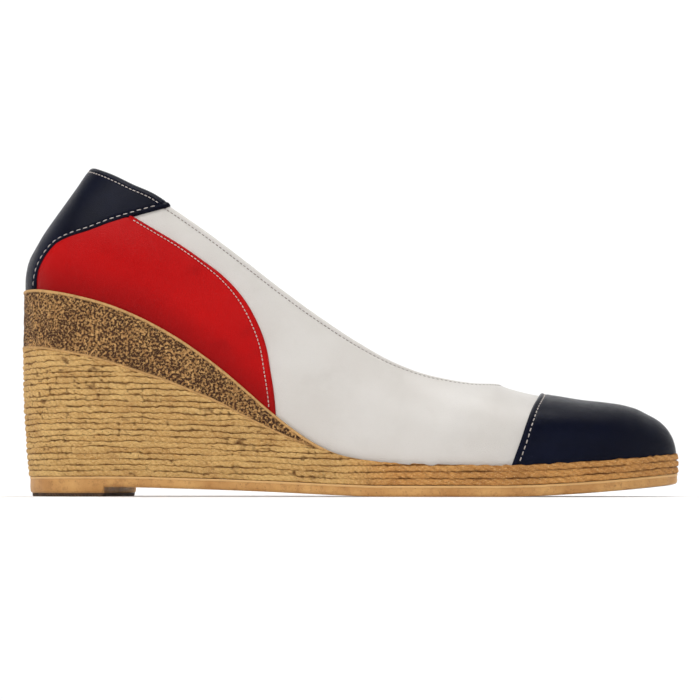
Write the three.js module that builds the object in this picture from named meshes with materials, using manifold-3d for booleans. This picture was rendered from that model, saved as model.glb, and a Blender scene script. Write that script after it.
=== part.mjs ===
// Wedge-heeled platform pump for the right foot, in millimetres.
// +X runs from heel to toe, -Y is the outer (lateral) side, +Z is up, and the floor is z = 0.
// The shoe is an assembly: outsole with its heel lift, rubber top piece, rope-ribbed wedge, cork layer,
// insole, one hollow upper, and the leather overlays of toe, heel and both quarters.
import * as THREE from "three";
import { mergeVertices } from "three/addons/utils/BufferGeometryUtils.js";
import Module from "manifold-3d";

const wasm = await Module();
wasm.setup();

// Driving sizes of the sole unit
const soleLength = 246;
const ballWidth = 78;
const heelHeight = 77.6; // floor to the rim at the back
const platformHeight = 11; // floor to the rim at the ball
const toeSpring = 4.5;
const waistLift = 3.4; // the shank's underside above the floor at the heel breast
const outsoleThickness = 3.9;
const topPieceThickness = 1.2;
const heelLiftLength = 38;
const corkThickness = 22;
const ropePitch = 2.4;
const ropeDepth = 0.55;
const ropeProfile = [
  { up: 0, depth: 1 },
  { up: 0.22, depth: 0 },
  { up: 0.78, depth: 0 },
]; // shares of one course's pitch and of the rope's depth
const heelTaper = 3.2; // how far the wedge draws in from the cork down to the outsole
const outsoleInset = 0.7; // the outsole's edge stands back from the ropes
const outsoleRound = 1; // chamfer at the bottom edge
const rimLip = 1.5; // the rim stands this far above the seat of the upper

// Driving sizes of the upper
const upperInset = 1.9; // belly of the upper, in from the sole's edge
const featherTuck = 0.4; // the upper draws in below its belly
const bellyHeight = 9;
const bellyShare = 0.35; // of a low section's height
const wall = 2; // leather and lining together
const coneHeight = 84; // tallest section of the last above the seat
const backRise = 47.1; // from the rim to the topline at the back
const throatRise = 30.8; // from the rim to the topline at the throat
const ridgeShift = 3; // the instep's ridge leans to the inner side
const backCurveReach = 4.5;
const backRoundness = 3;
const toeCurveReach = 16;
const toeRoundness = 2.2;
const overlayThickness = 0.8;
const counterThickness = 1.1; // the heel counter laps over the quarters, so it stands prouder
const insoleThickness = 2.5;

// Clearances
const seatGap = 0.3; // between curved pieces that bear on each other
const bedGap = 0.1; // between flat faces that are glued together

// Mesh fineness
const stationCount = 30; // along the sole and the upper alike
const archSteps = 7; // per side, belly to crown
const wallSteps = 2; // per side, feather line to belly
const tipTurn = 0.03; // the first and last arches stop just short of the tips

// Outline of the sole, as shares of half the ball width, before its ends are rounded
const outlineRows = [
  { at: 0.0, lateral: 0.72, medial: 0.72 },
  { at: 0.1, lateral: 0.73, medial: 0.715 },
  { at: 0.2, lateral: 0.735, medial: 0.69 },
  { at: 0.3, lateral: 0.725, medial: 0.63 },
  { at: 0.4, lateral: 0.74, medial: 0.585 },
  { at: 0.5, lateral: 0.82, medial: 0.64 },
  { at: 0.6, lateral: 0.95, medial: 0.82 },
  { at: 0.66, lateral: 1.0, medial: 0.94 },
  { at: 0.72, lateral: 0.99, medial: 1.01 },
  { at: 0.78, lateral: 0.925, medial: 0.99 },
  { at: 0.84, lateral: 0.815, medial: 0.91 },
  { at: 0.9, lateral: 0.675, medial: 0.79 },
  { at: 0.95, lateral: 0.57, medial: 0.69 },
  { at: 1.0, lateral: 0.48, medial: 0.6 },
];
const heelRoundShare = 0.115;
const toeRoundShare = 0.125;
const outlineRoundness = 2; // power of the curve that rounds both ends

// Height of the rim above the platform, as a share of the heel's rise
const rimRows = [
  { at: 0.0, drop: 1.0 },
  { at: 0.04, drop: 0.985 },
  { at: 0.08, drop: 0.96 },
  { at: 0.128, drop: 0.92 },
  { at: 0.164, drop: 0.88 },
  { at: 0.2, drop: 0.826 },
  { at: 0.233, drop: 0.766 },
  { at: 0.267, drop: 0.693 },
  { at: 0.3, drop: 0.61 },
  { at: 0.334, drop: 0.516 },
  { at: 0.367, drop: 0.413 },
  { at: 0.4, drop: 0.307 },
  { at: 0.433, drop: 0.209 },
  { at: 0.461, drop: 0.138 },
  { at: 0.483, drop: 0.093 },
  { at: 0.505, drop: 0.059 },
  { at: 0.53, drop: 0.037 },
  { at: 0.56, drop: 0.021 },
  { at: 0.6, drop: 0.008 },
  { at: 0.66, drop: 0.0 },
  { at: 1.0, drop: 0.0 },
];
// Underside of the outsole, as a share of the waist lift, behind the toe spring
const archRows = [
  { at: 0.0, lift: 1.0 },
  { at: 0.16, lift: 1.0 },
  { at: 0.3, lift: 0.77 },
  { at: 0.4, lift: 0.5 },
  { at: 0.5, lift: 0.17 },
  { at: 0.57, lift: 0.0 },
  { at: 1.0, lift: 0.0 },
];
const springStart = 0.74;
const springPower = 1.6;
// The cork layer's depth under the rim, as a share of its greatest thickness
const corkRows = [
  { at: 0.0, depth: 1.0 },
  { at: 0.1, depth: 0.985 },
  { at: 0.17, depth: 0.96 },
  { at: 0.2, depth: 0.93 },
  { at: 0.231, depth: 0.875 },
  { at: 0.26, depth: 0.805 },
  { at: 0.29, depth: 0.725 },
  { at: 0.317, depth: 0.63 },
  { at: 0.34, depth: 0.555 },
  { at: 0.368, depth: 0.455 },
  { at: 0.402, depth: 0.315 },
  { at: 0.43, depth: 0.205 },
  { at: 0.46, depth: 0.1 },
  { at: 0.5, depth: 0.0 },
];
const corkEnd = 0.475;
// How much of the heel's taper is left along the sole
const taperRows = [
  { at: 0.0, keep: 1.0 },
  { at: 0.2, keep: 0.9 },
  { at: 0.4, keep: 0.45 },
  { at: 0.55, keep: 0.0 },
  { at: 1.0, keep: 0.0 },
];

// The last's crown above the seat, as a share of the cone height. The sections between heel and
// throat rise past the topline, which cuts them open.
const crownRows = [
  { at: 0.0, rise: 0.145 },
  { at: 0.0236, rise: 0.216 },
  { at: 0.053, rise: 0.35 },
  { at: 0.0935, rise: 0.545 },
  { at: 0.1085, rise: 0.625 },
  { at: 0.137, rise: 0.745 },
  { at: 0.177, rise: 0.86 },
  { at: 0.26, rise: 0.935 },
  { at: 0.36, rise: 0.97 },
  { at: 0.42, rise: 0.93 },
  { at: 0.48, rise: 0.85 },
  { at: 0.53, rise: 0.725 },
  { at: 0.576, rise: 0.595 },
  { at: 0.62, rise: 0.49 },
  { at: 0.665, rise: 0.432 },
  { at: 0.695, rise: 0.405 },
  { at: 0.729, rise: 0.381 },
  { at: 0.748, rise: 0.358 },
  { at: 0.782, rise: 0.328 },
  { at: 0.828, rise: 0.299 },
  { at: 0.8585, rise: 0.278 },
  { at: 0.8886, rise: 0.261 },
  { at: 0.9146, rise: 0.243 },
  { at: 0.933, rise: 0.224 },
  { at: 0.958, rise: 0.199 },
  { at: 1.0, rise: 0.189 },
];
// Topline in side view, from the throat's height (0) to the back's (1)
const toplineRows = [
  { at: 0.0, up: 1.16 },
  { at: 0.105, up: 1.0 },
  { at: 0.128, up: 0.967 },
  { at: 0.151, up: 0.936 },
  { at: 0.188, up: 0.88 },
  { at: 0.216, up: 0.842 },
  { at: 0.2455, up: 0.785 },
  { at: 0.296, up: 0.68 },
  { at: 0.357, up: 0.543 },
  { at: 0.417, up: 0.403 },
  { at: 0.477, up: 0.273 },
  { at: 0.5366, up: 0.157 },
  { at: 0.595, up: 0.068 },
  { at: 0.624, up: 0.037 },
  { at: 0.653, up: 0.017 },
  { at: 0.6825, up: 0.003 },
  { at: 0.7057, up: -0.003 },
  { at: 0.729, up: 0.0 },
  { at: 0.8, up: 0.06 },
  { at: 1.0, up: 0.5 },
];
const ridgeRows = [
  { at: 0.0, shift: 0.0 },
  { at: 0.3, shift: 0.3 },
  { at: 0.65, shift: 1.0 },
  { at: 0.85, shift: 0.6 },
  { at: 1.0, shift: 0.0 },
];

// Panel edges in side view: along the sole's length, and up as a share of the back height
const counterEdge = [
  { at: 0.27, up: 0.86 },
  { at: 0.2463, up: 0.8522 },
  { at: 0.196, up: 0.8243 },
  { at: 0.1585, up: 0.801 },
  { at: 0.1305, up: 0.7804 },
  { at: 0.1008, up: 0.7628 },
  { at: 0.078, up: 0.7444 },
  { at: 0.0618, up: 0.7165 },
  { at: 0.0504, up: 0.6837 },
  { at: 0.0439, up: 0.6542 },
  { at: 0.0407, up: 0.6126 },
  { at: 0.04, up: 0.54 },
];
const quarterEdge = [
  { at: 0.155, up: 0.87 },
  { at: 0.1947, up: 0.821 },
  { at: 0.2317, up: 0.777 },
  { at: 0.2659, up: 0.7356 },
  { at: 0.3, up: 0.6885 },
  { at: 0.327, up: 0.6486 },
  { at: 0.351, up: 0.602 },
  { at: 0.3707, up: 0.5495 },
  { at: 0.3878, up: 0.484 },
  { at: 0.398, up: 0.425 },
  { at: 0.4035, up: 0.3666 },
  { at: 0.409, up: 0.3027 },
  { at: 0.412, up: 0.2476 },
  { at: 0.414, up: 0.16 },
];
const toeCapEdge = [
  { at: 0.806, up: 0.36 },
  { at: 0.797, up: 0.3 },
  { at: 0.784, up: 0.252 },
  { at: 0.775, up: 0.208 },
  { at: 0.766, up: 0.156 },
  { at: 0.757, up: 0.108 },
  { at: 0.75, up: 0.07 },
  { at: 0.743, up: 0.02 },
];
const edgeSamples = 24;

// A smooth curve through a table's rows that never overshoots them
function through(rows, key) {
  const x = rows.map((row) => row.at);
  const y = rows.map((row) => row[key]);
  const slope = x.slice(1).map((right, i) => (y[i + 1] - y[i]) / (right - x[i]));
  const tangent = y.map((_, i) => {
    if (i === 0) return slope[0];
    if (i === y.length - 1) return slope[i - 1];
    if (slope[i - 1] * slope[i] <= 0) return 0;
    const before = x[i] - x[i - 1];
    const after = x[i + 1] - x[i];
    const weightA = 2 * after + before;
    const weightB = after + 2 * before;
    return (weightA + weightB) / (weightA / slope[i - 1] + weightB / slope[i]);
  });
  return (at) => {
    const clamped = Math.min(Math.max(at, x[0]), x[x.length - 1]);
    let i = x.findIndex((right) => right >= clamped) - 1;
    i = Math.max(i, 0);
    const span = x[i + 1] - x[i];
    const t = (clamped - x[i]) / span;
    const t2 = t * t;
    const t3 = t2 * t;
    return (
      (2 * t3 - 3 * t2 + 1) * y[i] +
      (t3 - 2 * t2 + t) * span * tangent[i] +
      (3 * t2 - 2 * t3) * y[i + 1] +
      (t3 - t2) * span * tangent[i + 1]
    );
  };
}

const lateralShare = through(outlineRows, "lateral");
const medialShare = through(outlineRows, "medial");
const rimDrop = through(rimRows, "drop");
const archLift = through(archRows, "lift");
const corkDepth = through(corkRows, "depth");
const taperKeep = through(taperRows, "keep");
const crownRise = through(crownRows, "rise");
const toplineUp = through(toplineRows, "up");
const ridgeAt = through(ridgeRows, "shift");

// A quarter-round end: 0 at the tip, 1 from the reach inwards
function endRound(distance, reach, power) {
  if (distance >= reach) return 1;
  return (1 - (1 - Math.max(distance, 0) / reach) ** power) ** (1 / power);
}

// The place along the sole at a turn of its outline, and evenly turned places from heel to toe
const placeOf = (turn) => (1 - Math.cos(turn)) / 2;
const stations = (count) => Array.from({ length: count + 1 }, (_, i) => placeOf((Math.PI * i) / count));

const alongX = (at) => at * soleLength;
const springZ = (at) => {
  if (at <= springStart) return 0;
  return toeSpring * ((at - springStart) / (1 - springStart)) ** springPower;
};
const rimZ = (at) => platformHeight + (heelHeight - platformHeight) * rimDrop(at) + springZ(at);
const seatZ = (at) => rimZ(at) - rimLip;
const undersideZ = (at) => waistLift * archLift(at) + springZ(at);
const seamZ = (at) => undersideZ(at) + outsoleThickness;
const corkZ = (at) => rimZ(at) - corkThickness * corkDepth(at);
const backHeight = heelHeight + backRise;
const throatHeight = platformHeight + throatRise;
const toplineZ = (at) => throatHeight + (backHeight - throatHeight) * toplineUp(at);

// Half width of the sole on one side; side is -1 for lateral and 1 for medial
function soleHalf(at, side) {
  const share = side < 0 ? lateralShare(at) : medialShare(at);
  const heel = endRound(at, heelRoundShare, outlineRoundness);
  const toe = endRound(1 - at, toeRoundShare, outlineRoundness);
  return (ballWidth / 2) * share * heel * toe;
}

// A point of the sole's outline. turn runs from 0 at the heel's tip along the lateral side to PI at
// the toe's tip, and on along the medial side back to the heel.
function outlinePoint(turn) {
  const at = placeOf(turn);
  const side = Math.sin(turn) > 0 ? -1 : 1;
  return new THREE.Vector2(alongX(at), side * soleHalf(at, side));
}

// The same point drawn in by an inset along the outline's own normal
function insetPoint(turn, inset) {
  const step = 1e-3;
  const along = outlinePoint(turn + step).sub(outlinePoint(turn - step)).normalize();
  const point = outlinePoint(turn);
  const x = point.x - along.y * inset;
  return { at: x / soleLength, x, y: point.y + along.x * inset };
}

// A closed loop round the sole, drawn in by a function of the place along it
function soleLoop(inset) {
  return Array.from({ length: 2 * stationCount }, (_, i) => {
    const turn = (Math.PI * i) / stationCount;
    return insetPoint(turn, inset(placeOf(turn)));
  });
}

// A closed mesh as a solid, from its points and triangles
function solidFrom(points, triangles) {
  return new wasm.Manifold(
    new wasm.Mesh({
      numProp: 3,
      vertProperties: new Float32Array(points.flat()),
      triVerts: new Uint32Array(triangles.flat()),
    }),
  );
}

// A stack of sole-shaped loops, bottom first, closed below and above by ladders across the sole
function stackSolid(loops) {
  const size = loops[0].length;
  const half = size / 2;
  const points = loops.flat();
  const triangles = [];
  for (let level = 0; level + 1 < loops.length; level += 1) {
    for (let i = 0; i < size; i += 1) {
      const a = level * size + i;
      const b = level * size + ((i + 1) % size);
      triangles.push([a, b, b + size], [a, b + size, a + size]);
    }
  }
  const top = (loops.length - 1) * size;
  for (let i = 0; i < half; i += 1) {
    const lateralA = i;
    const lateralB = i + 1;
    const medialB = (size - lateralB) % size;
    const medialA = (size - lateralA) % size;
    if (lateralB !== medialB) {
      triangles.push([lateralA, medialB, lateralB]);
      triangles.push([top + lateralA, top + lateralB, top + medialB]);
    }
    if (lateralA !== medialA) {
      triangles.push([lateralA, medialA, medialB]);
      triangles.push([top + lateralA, top + medialB, top + medialA]);
    }
  }
  return solidFrom(points, triangles);
}

// A slab that follows the whole outline between two height functions
function soleSlab(low, high, inset) {
  const loop = soleLoop(inset);
  return stackSolid([low, high].map((z) => loop.map((p) => [p.x, p.y, z(p.at)])));
}

// A prism along Y from an outline in side view, wide enough to pass through the shoe
function sidePrism(outline) {
  const shape = new THREE.Shape(outline.map(([x, z]) => new THREE.Vector2(x, z)));
  const depth = ballWidth * 2;
  const geometry = new THREE.ExtrudeGeometry(shape, { depth, bevelEnabled: false });
  geometry.rotateX(Math.PI / 2).translate(0, depth / 2, 0);
  return solidOf(geometry);
}

// A three.js geometry as a solid
function solidOf(geometry) {
  geometry.deleteAttribute("normal");
  geometry.deleteAttribute("uv");
  const merged = mergeVertices(geometry, 1e-4);
  return new wasm.Manifold(
    new wasm.Mesh({
      numProp: 3,
      vertProperties: merged.attributes.position.array,
      triVerts: new Uint32Array(merged.index.array),
    }),
  );
}

const far = soleLength * 2; // past the shoe on every side

// Everything above a height function of the place along the sole
function above(z) {
  const places = stations(stationCount);
  const edge = places.map((at) => [alongX(at), z(at)]);
  return sidePrism([[-far, z(0)], ...edge, [far, z(1)], [far, far], [-far, far]]);
}

// The form of the upper: arches across the foot, each from one feather line over to the other

// The size of the arch between the two points at a turn of the outline
function arch(turn) {
  const lateral = insetPoint(turn, upperInset);
  const medial = insetPoint(2 * Math.PI - turn, upperInset);
  const x = (lateral.x + medial.x) / 2;
  const at = x / soleLength;
  const backEnd = endRound(x - upperInset, backCurveReach, backRoundness);
  const toeEnd = endRound(soleLength - upperInset - x, toeCurveReach, toeRoundness);
  const height = coneHeight * crownRise(at) * backEnd * toeEnd;
  const ridge = ridgeShift * ridgeAt(at) * Math.min(1, (medial.y - lateral.y) / ballWidth);
  return { height, belly: Math.min(bellyHeight, height * bellyShare), x, ridge };
}

// A point of the upper's outside. across runs from -1, the lateral feather line, over the crown
// at 0 to the medial feather line at 1.
function upperPoint(turn, across) {
  const { height, belly, x, ridge } = arch(turn);
  const foot = across < 0 ? turn : 2 * Math.PI - turn;
  const wallShare = wallSteps / (wallSteps + archSteps);
  const over = (1 - Math.abs(across)) / wallShare;
  const point = new THREE.Vector3();
  if (over < 1) {
    const low = insetPoint(foot, upperInset + featherTuck * (1 - over) ** 2);
    point.set(low.x, low.y, belly * over);
  } else {
    const side = insetPoint(foot, upperInset);
    const angle = (Math.PI / 2) * (1 - Math.abs(across) / (1 - wallShare));
    const out = Math.cos(angle);
    point.set(x + (side.x - x) * out, ridge + (side.y - ridge) * out, belly);
    point.z += (height - belly) * Math.sin(angle);
  }
  point.z += seatZ(point.x / soleLength) + seatGap;
  return point;
}

// The outward normal there, from close neighbours; level at the feather line
function upperNormal(turn, across) {
  const step = 1e-3;
  const along = upperPoint(turn + step, across).sub(upperPoint(turn - step, across));
  const over = upperPoint(turn, Math.min(across + step, 1));
  const round = over.sub(upperPoint(turn, Math.max(across - step, -1)));
  const normal = along.cross(round);
  if (Math.abs(across) === 1) normal.z = 0;
  return normal.normalize();
}

// The upper's form grown by a distance, negative for inwards, and carried down by a drop
function upperForm(grow, drop) {
  const steps = archSteps + wallSteps;
  const rings = Array.from({ length: stationCount + 1 }, (_, i) => {
    const turn = tipTurn + ((Math.PI - 2 * tipTurn) * i) / stationCount;
    const ring = Array.from({ length: 2 * steps + 1 }, (_, k) => {
      const across = (k - steps) / steps;
      return upperPoint(turn, across).addScaledVector(upperNormal(turn, across), grow).toArray();
    });
    if (drop > 0) {
      const [first, last] = [ring[0], ring[ring.length - 1]];
      ring.push([last[0], last[1], last[2] - drop], [first[0], first[1], first[2] - drop]);
    }
    return ring;
  });
  const size = rings[0].length;
  const triangles = [];
  for (let ring = 0; ring + 1 < rings.length; ring += 1) {
    for (let i = 0; i < size; i += 1) {
      const a = ring * size + i;
      const b = ring * size + ((i + 1) % size);
      triangles.push([a, b + size, b], [a, a + size, b + size]);
    }
  }
  const end = (rings.length - 1) * size;
  for (let i = 1; i + 1 < size; i += 1) {
    triangles.push([0, i, i + 1], [end, end + i + 1, end + i]);
  }
  return solidFrom(rings.flat(), triangles);
}

// A panel edge as a smooth line in side view, moved along X by a shift
function edgeLine(rows, shift = 0) {
  const knots = rows.map((row) => new THREE.Vector2(alongX(row.at) + shift, row.up * backHeight));
  return new THREE.SplineCurve(knots).getPoints(edgeSamples).map((p) => [p.x, p.y]);
}

const collarCut = above(toplineZ);

// The sole unit

const taperInset = (at, height) => {
  const reach = heelHeight - corkThickness - outsoleThickness;
  const left = Math.max(1 - height / reach, 0);
  return heelTaper * taperKeep(at) * left * left;
};

// Everything from the heel's back to a length along the sole
const heelEnd = (length) => sidePrism([[-far, -far], [length, -far], [length, far], [-far, far]]);

function outsole() {
  const edge = (at) => taperInset(at, 0) + outsoleInset;
  const loop = soleLoop(edge);
  const bottom = soleLoop((at) => edge(at) + outsoleRound);
  const plate = stackSolid([
    bottom.map((p) => [p.x, p.y, undersideZ(p.at)]),
    loop.map((p) => [p.x, p.y, undersideZ(p.at) + outsoleRound]),
    loop.map((p) => [p.x, p.y, seamZ(p.at) - bedGap]),
  ]);
  const liftTop = seamZ(0) - outsoleThickness / 2;
  const block = stackSolid([
    bottom.map((p) => [p.x, p.y, topPieceThickness + bedGap]),
    loop.map((p) => [p.x, p.y, topPieceThickness + bedGap + outsoleRound]),
    loop.map((p) => [p.x, p.y, liftTop]),
  ]);
  return plate.add(block.intersect(heelEnd(heelLiftLength)));
}

function topPiece() {
  const inset = (at) => taperInset(at, 0) + outsoleInset + outsoleRound;
  const pad = soleSlab(() => 0, () => topPieceThickness, inset);
  return pad.intersect(heelEnd(heelLiftLength - bedGap));
}

// The recess that takes the upper's foot, from the seat upwards
function recess() {
  const loop = soleLoop(() => upperInset - seatGap);
  return stackSolid([
    loop.map((p) => [p.x, p.y, seatZ(p.at)]),
    loop.map((p) => [p.x, p.y, rimZ(p.at) + rimLip]),
  ]);
}

// Rope courses, one above the other from the outsole's seam to past the rim
function ropeStack() {
  const courses = Math.ceil((heelHeight - outsoleThickness) / ropePitch);
  const loops = [];
  for (let course = 0; course < courses; course += 1) {
    for (const { up, depth } of ropeProfile) {
      const height = (course + up) * ropePitch;
      const loop = soleLoop((at) => taperInset(at, height) + ropeDepth * depth);
      loops.push(loop.map((p) => [p.x, p.y, seamZ(p.at) + height]));
    }
  }
  return stackSolid(loops);
}

// Everything above the cork's underside, from the heel to a place near the waist
function corkRegion(gap) {
  const places = stations(stationCount).filter((at) => at < corkEnd);
  const edge = [...places, corkEnd].map((at) => [alongX(at) + gap, corkZ(at) - gap]);
  return sidePrism([[-far, corkZ(0) - gap], ...edge, [alongX(corkEnd) + gap, far], [-far, far]]);
}

function corkLayer() {
  const slab = soleSlab(() => seamZ(0), rimZ, () => 0);
  return slab.intersect(corkRegion(0)).subtract(recess());
}

function wedge() {
  return ropeStack().subtract(above(rimZ)).subtract(corkRegion(seatGap)).subtract(recess());
}

// The upper, its overlays and the insole

const grownUpper = upperForm(0, 0);

function upper() {
  return grownUpper.subtract(upperForm(-wall, wall)).subtract(collarCut);
}

// A skin over the upper, from just above the sole's rim to the topline
const rimCut = above((at) => rimZ(at) + seatGap);
const skinInside = upperForm(seatGap, wall);

function skin(thickness) {
  return upperForm(seatGap + thickness, 0).subtract(skinInside).intersect(rimCut).subtract(collarCut);
}

// Everything behind an edge in side view
function behind(edge) {
  const [topX] = edge[0];
  const [, footZ] = edge[edge.length - 1];
  return sidePrism([[-far, footZ], ...edge.toReversed(), [topX, far], [-far, far]]);
}

function heelCounter() {
  return skin(counterThickness).intersect(behind(edgeLine(counterEdge)));
}

function quarter(side) {
  const both = skin(overlayThickness)
    .intersect(behind(edgeLine(quarterEdge)))
    .subtract(behind(edgeLine(counterEdge, seatGap)));
  const half = new THREE.BoxGeometry(far, far, far).translate(soleLength / 2, (side * far) / 2, 0);
  return both.intersect(solidOf(half));
}

function toeCap() {
  return skin(overlayThickness).subtract(behind(edgeLine(toeCapEdge)));
}

function insole() {
  const inner = upperForm(-wall - seatGap, wall);
  const low = (at) => seatZ(at) + seatGap;
  const high = (at) => seatZ(at) + seatGap + insoleThickness;
  return soleSlab(low, high, () => 0).intersect(inner);
}

// Materials and assembly

const finish = (color, roughness) => new THREE.MeshStandardMaterial({ color, roughness, metalness: 0 });
const materials = {
  tanRubber: finish(0xb5833f, 0.6),
  darkRubber: finish(0x231a14, 0.75),
  rope: finish(0xc39a58, 0.8),
  cork: finish(0x8a6a3f, 0.85),
  creamLeather: finish(0xd2ccc6, 0.45),
  redLeather: finish(0xb01318, 0.42),
  navyLeather: finish(0x14182a, 0.4),
  insoleLeather: finish(0xc9ad84, 0.6),
};

function meshOf(name, solid, material) {
  const made = solid.getMesh();
  const geometry = new THREE.BufferGeometry();
  geometry.setAttribute("position", new THREE.BufferAttribute(made.vertProperties, 3));
  geometry.setIndex(new THREE.BufferAttribute(made.triVerts, 1));
  const mesh = new THREE.Mesh(geometry, material);
  mesh.name = name;
  return mesh;
}

const shoe = new THREE.Group();
shoe.add(
  meshOf("outsole", outsole(), materials.tanRubber),
  meshOf("heel_top_piece", topPiece(), materials.darkRubber),
  meshOf("rope_wedge", wedge(), materials.rope),
  meshOf("cork_layer", corkLayer(), materials.cork),
  meshOf("insole", insole(), materials.insoleLeather),
  meshOf("upper", upper(), materials.creamLeather),
  meshOf("toe_cap", toeCap(), materials.navyLeather),
  meshOf("heel_counter", heelCounter(), materials.navyLeather),
  meshOf("quarter_lateral", quarter(-1), materials.redLeather),
  meshOf("quarter_medial", quarter(1), materials.redLeather),
);

// The origin is on the floor, at the middle of the shoe's length and width
const extent = new THREE.Box3().setFromObject(shoe);
shoe.position.set(-(extent.min.x + extent.max.x) / 2, -(extent.min.y + extent.max.y) / 2, 0);
const platformShoe = new THREE.Group();
platformShoe.add(shoe);

export default platformShoe;
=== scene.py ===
"""A wedge heel platform shoe for the right foot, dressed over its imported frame.

Shapes are worked out in millimetres with the heel's tip at x = 0 and the toe's at SOLE_LENGTH,
-Y on the outer side and the floor at z = 0, and go into the frame, in metres, as each mesh is made.
"""
import math

import bpy
import numpy as np
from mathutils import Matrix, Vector
from mathutils.bvhtree import BVHTree


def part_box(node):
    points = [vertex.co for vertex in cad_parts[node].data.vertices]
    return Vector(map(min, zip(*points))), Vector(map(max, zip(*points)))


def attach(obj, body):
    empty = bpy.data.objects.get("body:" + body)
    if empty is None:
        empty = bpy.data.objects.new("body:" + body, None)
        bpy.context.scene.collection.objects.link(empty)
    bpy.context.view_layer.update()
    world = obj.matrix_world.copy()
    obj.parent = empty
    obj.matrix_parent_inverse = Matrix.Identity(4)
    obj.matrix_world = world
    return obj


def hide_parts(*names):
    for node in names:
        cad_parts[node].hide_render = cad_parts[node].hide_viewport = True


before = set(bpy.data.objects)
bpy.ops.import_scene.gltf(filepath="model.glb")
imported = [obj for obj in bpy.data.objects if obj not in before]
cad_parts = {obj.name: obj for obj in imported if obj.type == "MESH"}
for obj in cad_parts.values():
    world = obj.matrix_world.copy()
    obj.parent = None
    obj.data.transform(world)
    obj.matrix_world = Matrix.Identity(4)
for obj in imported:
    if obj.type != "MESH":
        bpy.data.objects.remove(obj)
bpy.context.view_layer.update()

MM = 0.001
SIDES = (-1, 1)  # lateral, then medial

# The frame's own place: the wedge spans the whole length and width of the sole
WEDGE_LOW, WEDGE_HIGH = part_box("rope_wedge")

# Driving sizes of the sole unit, in millimetres
SOLE_LENGTH = (WEDGE_HIGH.x - WEDGE_LOW.x) / MM
BALL_WIDTH = 78.0
HEEL_HEIGHT = 77.6
PLATFORM_HEIGHT = 11.0
TOE_SPRING = 4.5
WAIST_LIFT = 3.4
OUTSOLE_THICKNESS = 3.9
TOP_PIECE_THICKNESS = 1.2
HEEL_LIFT_LENGTH = 38.0
CORK_THICKNESS = 22.0
ROPE_PITCH = 2.4
HEEL_TAPER = 3.2
OUTSOLE_INSET = 0.7
RIM_LIP = 1.5

# Driving sizes of the upper, in millimetres
UPPER_INSET = 1.9
FEATHER_TUCK = 0.4
BELLY_HEIGHT = 9.0
BELLY_SHARE = 0.35
WALL = 2.0
CONE_HEIGHT = 84.0
BACK_RISE = 47.1
THROAT_RISE = 30.8
RIDGE_SHIFT = 3.0
BACK_CURVE_REACH = 4.5
TOE_CURVE_REACH = 16.0
SEAT_GAP = 0.3
INSOLE_THICKNESS = 2.5
QUARTER_PROUD = 0.95
CAP_PROUD = 1.0
COUNTER_PROUD = 1.35
WALL_SHARE = 2 / 9  # of each half of the arch, from the feather line to the belly

# Outline of the sole: place along it, then lateral and medial half width as shares of half the ball width
OUTLINE = (
    (0.0, 0.72, 0.72), (0.1, 0.73, 0.715), (0.2, 0.735, 0.69), (0.3, 0.725, 0.63),
    (0.4, 0.74, 0.585), (0.5, 0.82, 0.64), (0.6, 0.95, 0.82), (0.66, 1.0, 0.94), (0.72, 0.99, 1.01),
    (0.78, 0.925, 0.99), (0.84, 0.815, 0.91), (0.9, 0.675, 0.79), (0.95, 0.57, 0.69),
    (1.0, 0.48, 0.6),
)
HEEL_ROUND = 0.115
TOE_ROUND = 0.125

# Place along the sole, then the rim's share of the heel's rise above the platform
RIM = (
    (0.0, 1.0), (0.04, 0.985), (0.08, 0.96), (0.128, 0.92), (0.164, 0.88), (0.2, 0.826),
    (0.233, 0.766), (0.267, 0.693), (0.3, 0.61), (0.334, 0.516), (0.367, 0.413), (0.4, 0.307),
    (0.433, 0.209), (0.461, 0.138), (0.483, 0.093), (0.505, 0.059), (0.53, 0.037), (0.56, 0.021),
    (0.6, 0.008), (0.66, 0.0), (1.0, 0.0),
)
# Place, then the underside's share of the waist lift
ARCH = ((0.0, 1.0), (0.16, 1.0), (0.3, 0.77), (0.4, 0.5), (0.5, 0.17), (0.57, 0.0), (1.0, 0.0))
SPRING_START = 0.74
SPRING_POWER = 1.6
# Place, then the cork's depth under the rim as a share of its thickness
CORK = (
    (0.0, 1.0), (0.1, 0.985), (0.17, 0.96), (0.2, 0.93), (0.231, 0.875), (0.26, 0.805),
    (0.29, 0.725), (0.317, 0.63), (0.34, 0.555), (0.368, 0.455), (0.402, 0.315), (0.43, 0.205),
    (0.46, 0.1), (0.5, 0.0), (1.0, 0.0),
)
CORK_END = 0.5
# Place, then how much of the heel's taper is left
TAPER = ((0.0, 1.0), (0.2, 0.9), (0.4, 0.45), (0.55, 0.0), (1.0, 0.0))
# Place, then the last's crown above the seat as a share of the cone height
CROWN = (
    (0.0, 0.145), (0.0236, 0.216), (0.053, 0.35), (0.0935, 0.545), (0.1085, 0.625), (0.137, 0.745),
    (0.177, 0.86), (0.26, 0.935), (0.36, 0.97), (0.42, 0.93), (0.48, 0.85), (0.53, 0.725),
    (0.576, 0.595), (0.62, 0.49), (0.665, 0.432), (0.695, 0.405), (0.729, 0.381), (0.748, 0.358),
    (0.782, 0.328), (0.828, 0.299), (0.8585, 0.278), (0.8886, 0.261), (0.9146, 0.243),
    (0.933, 0.224), (0.958, 0.199), (1.0, 0.189),
)
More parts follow.
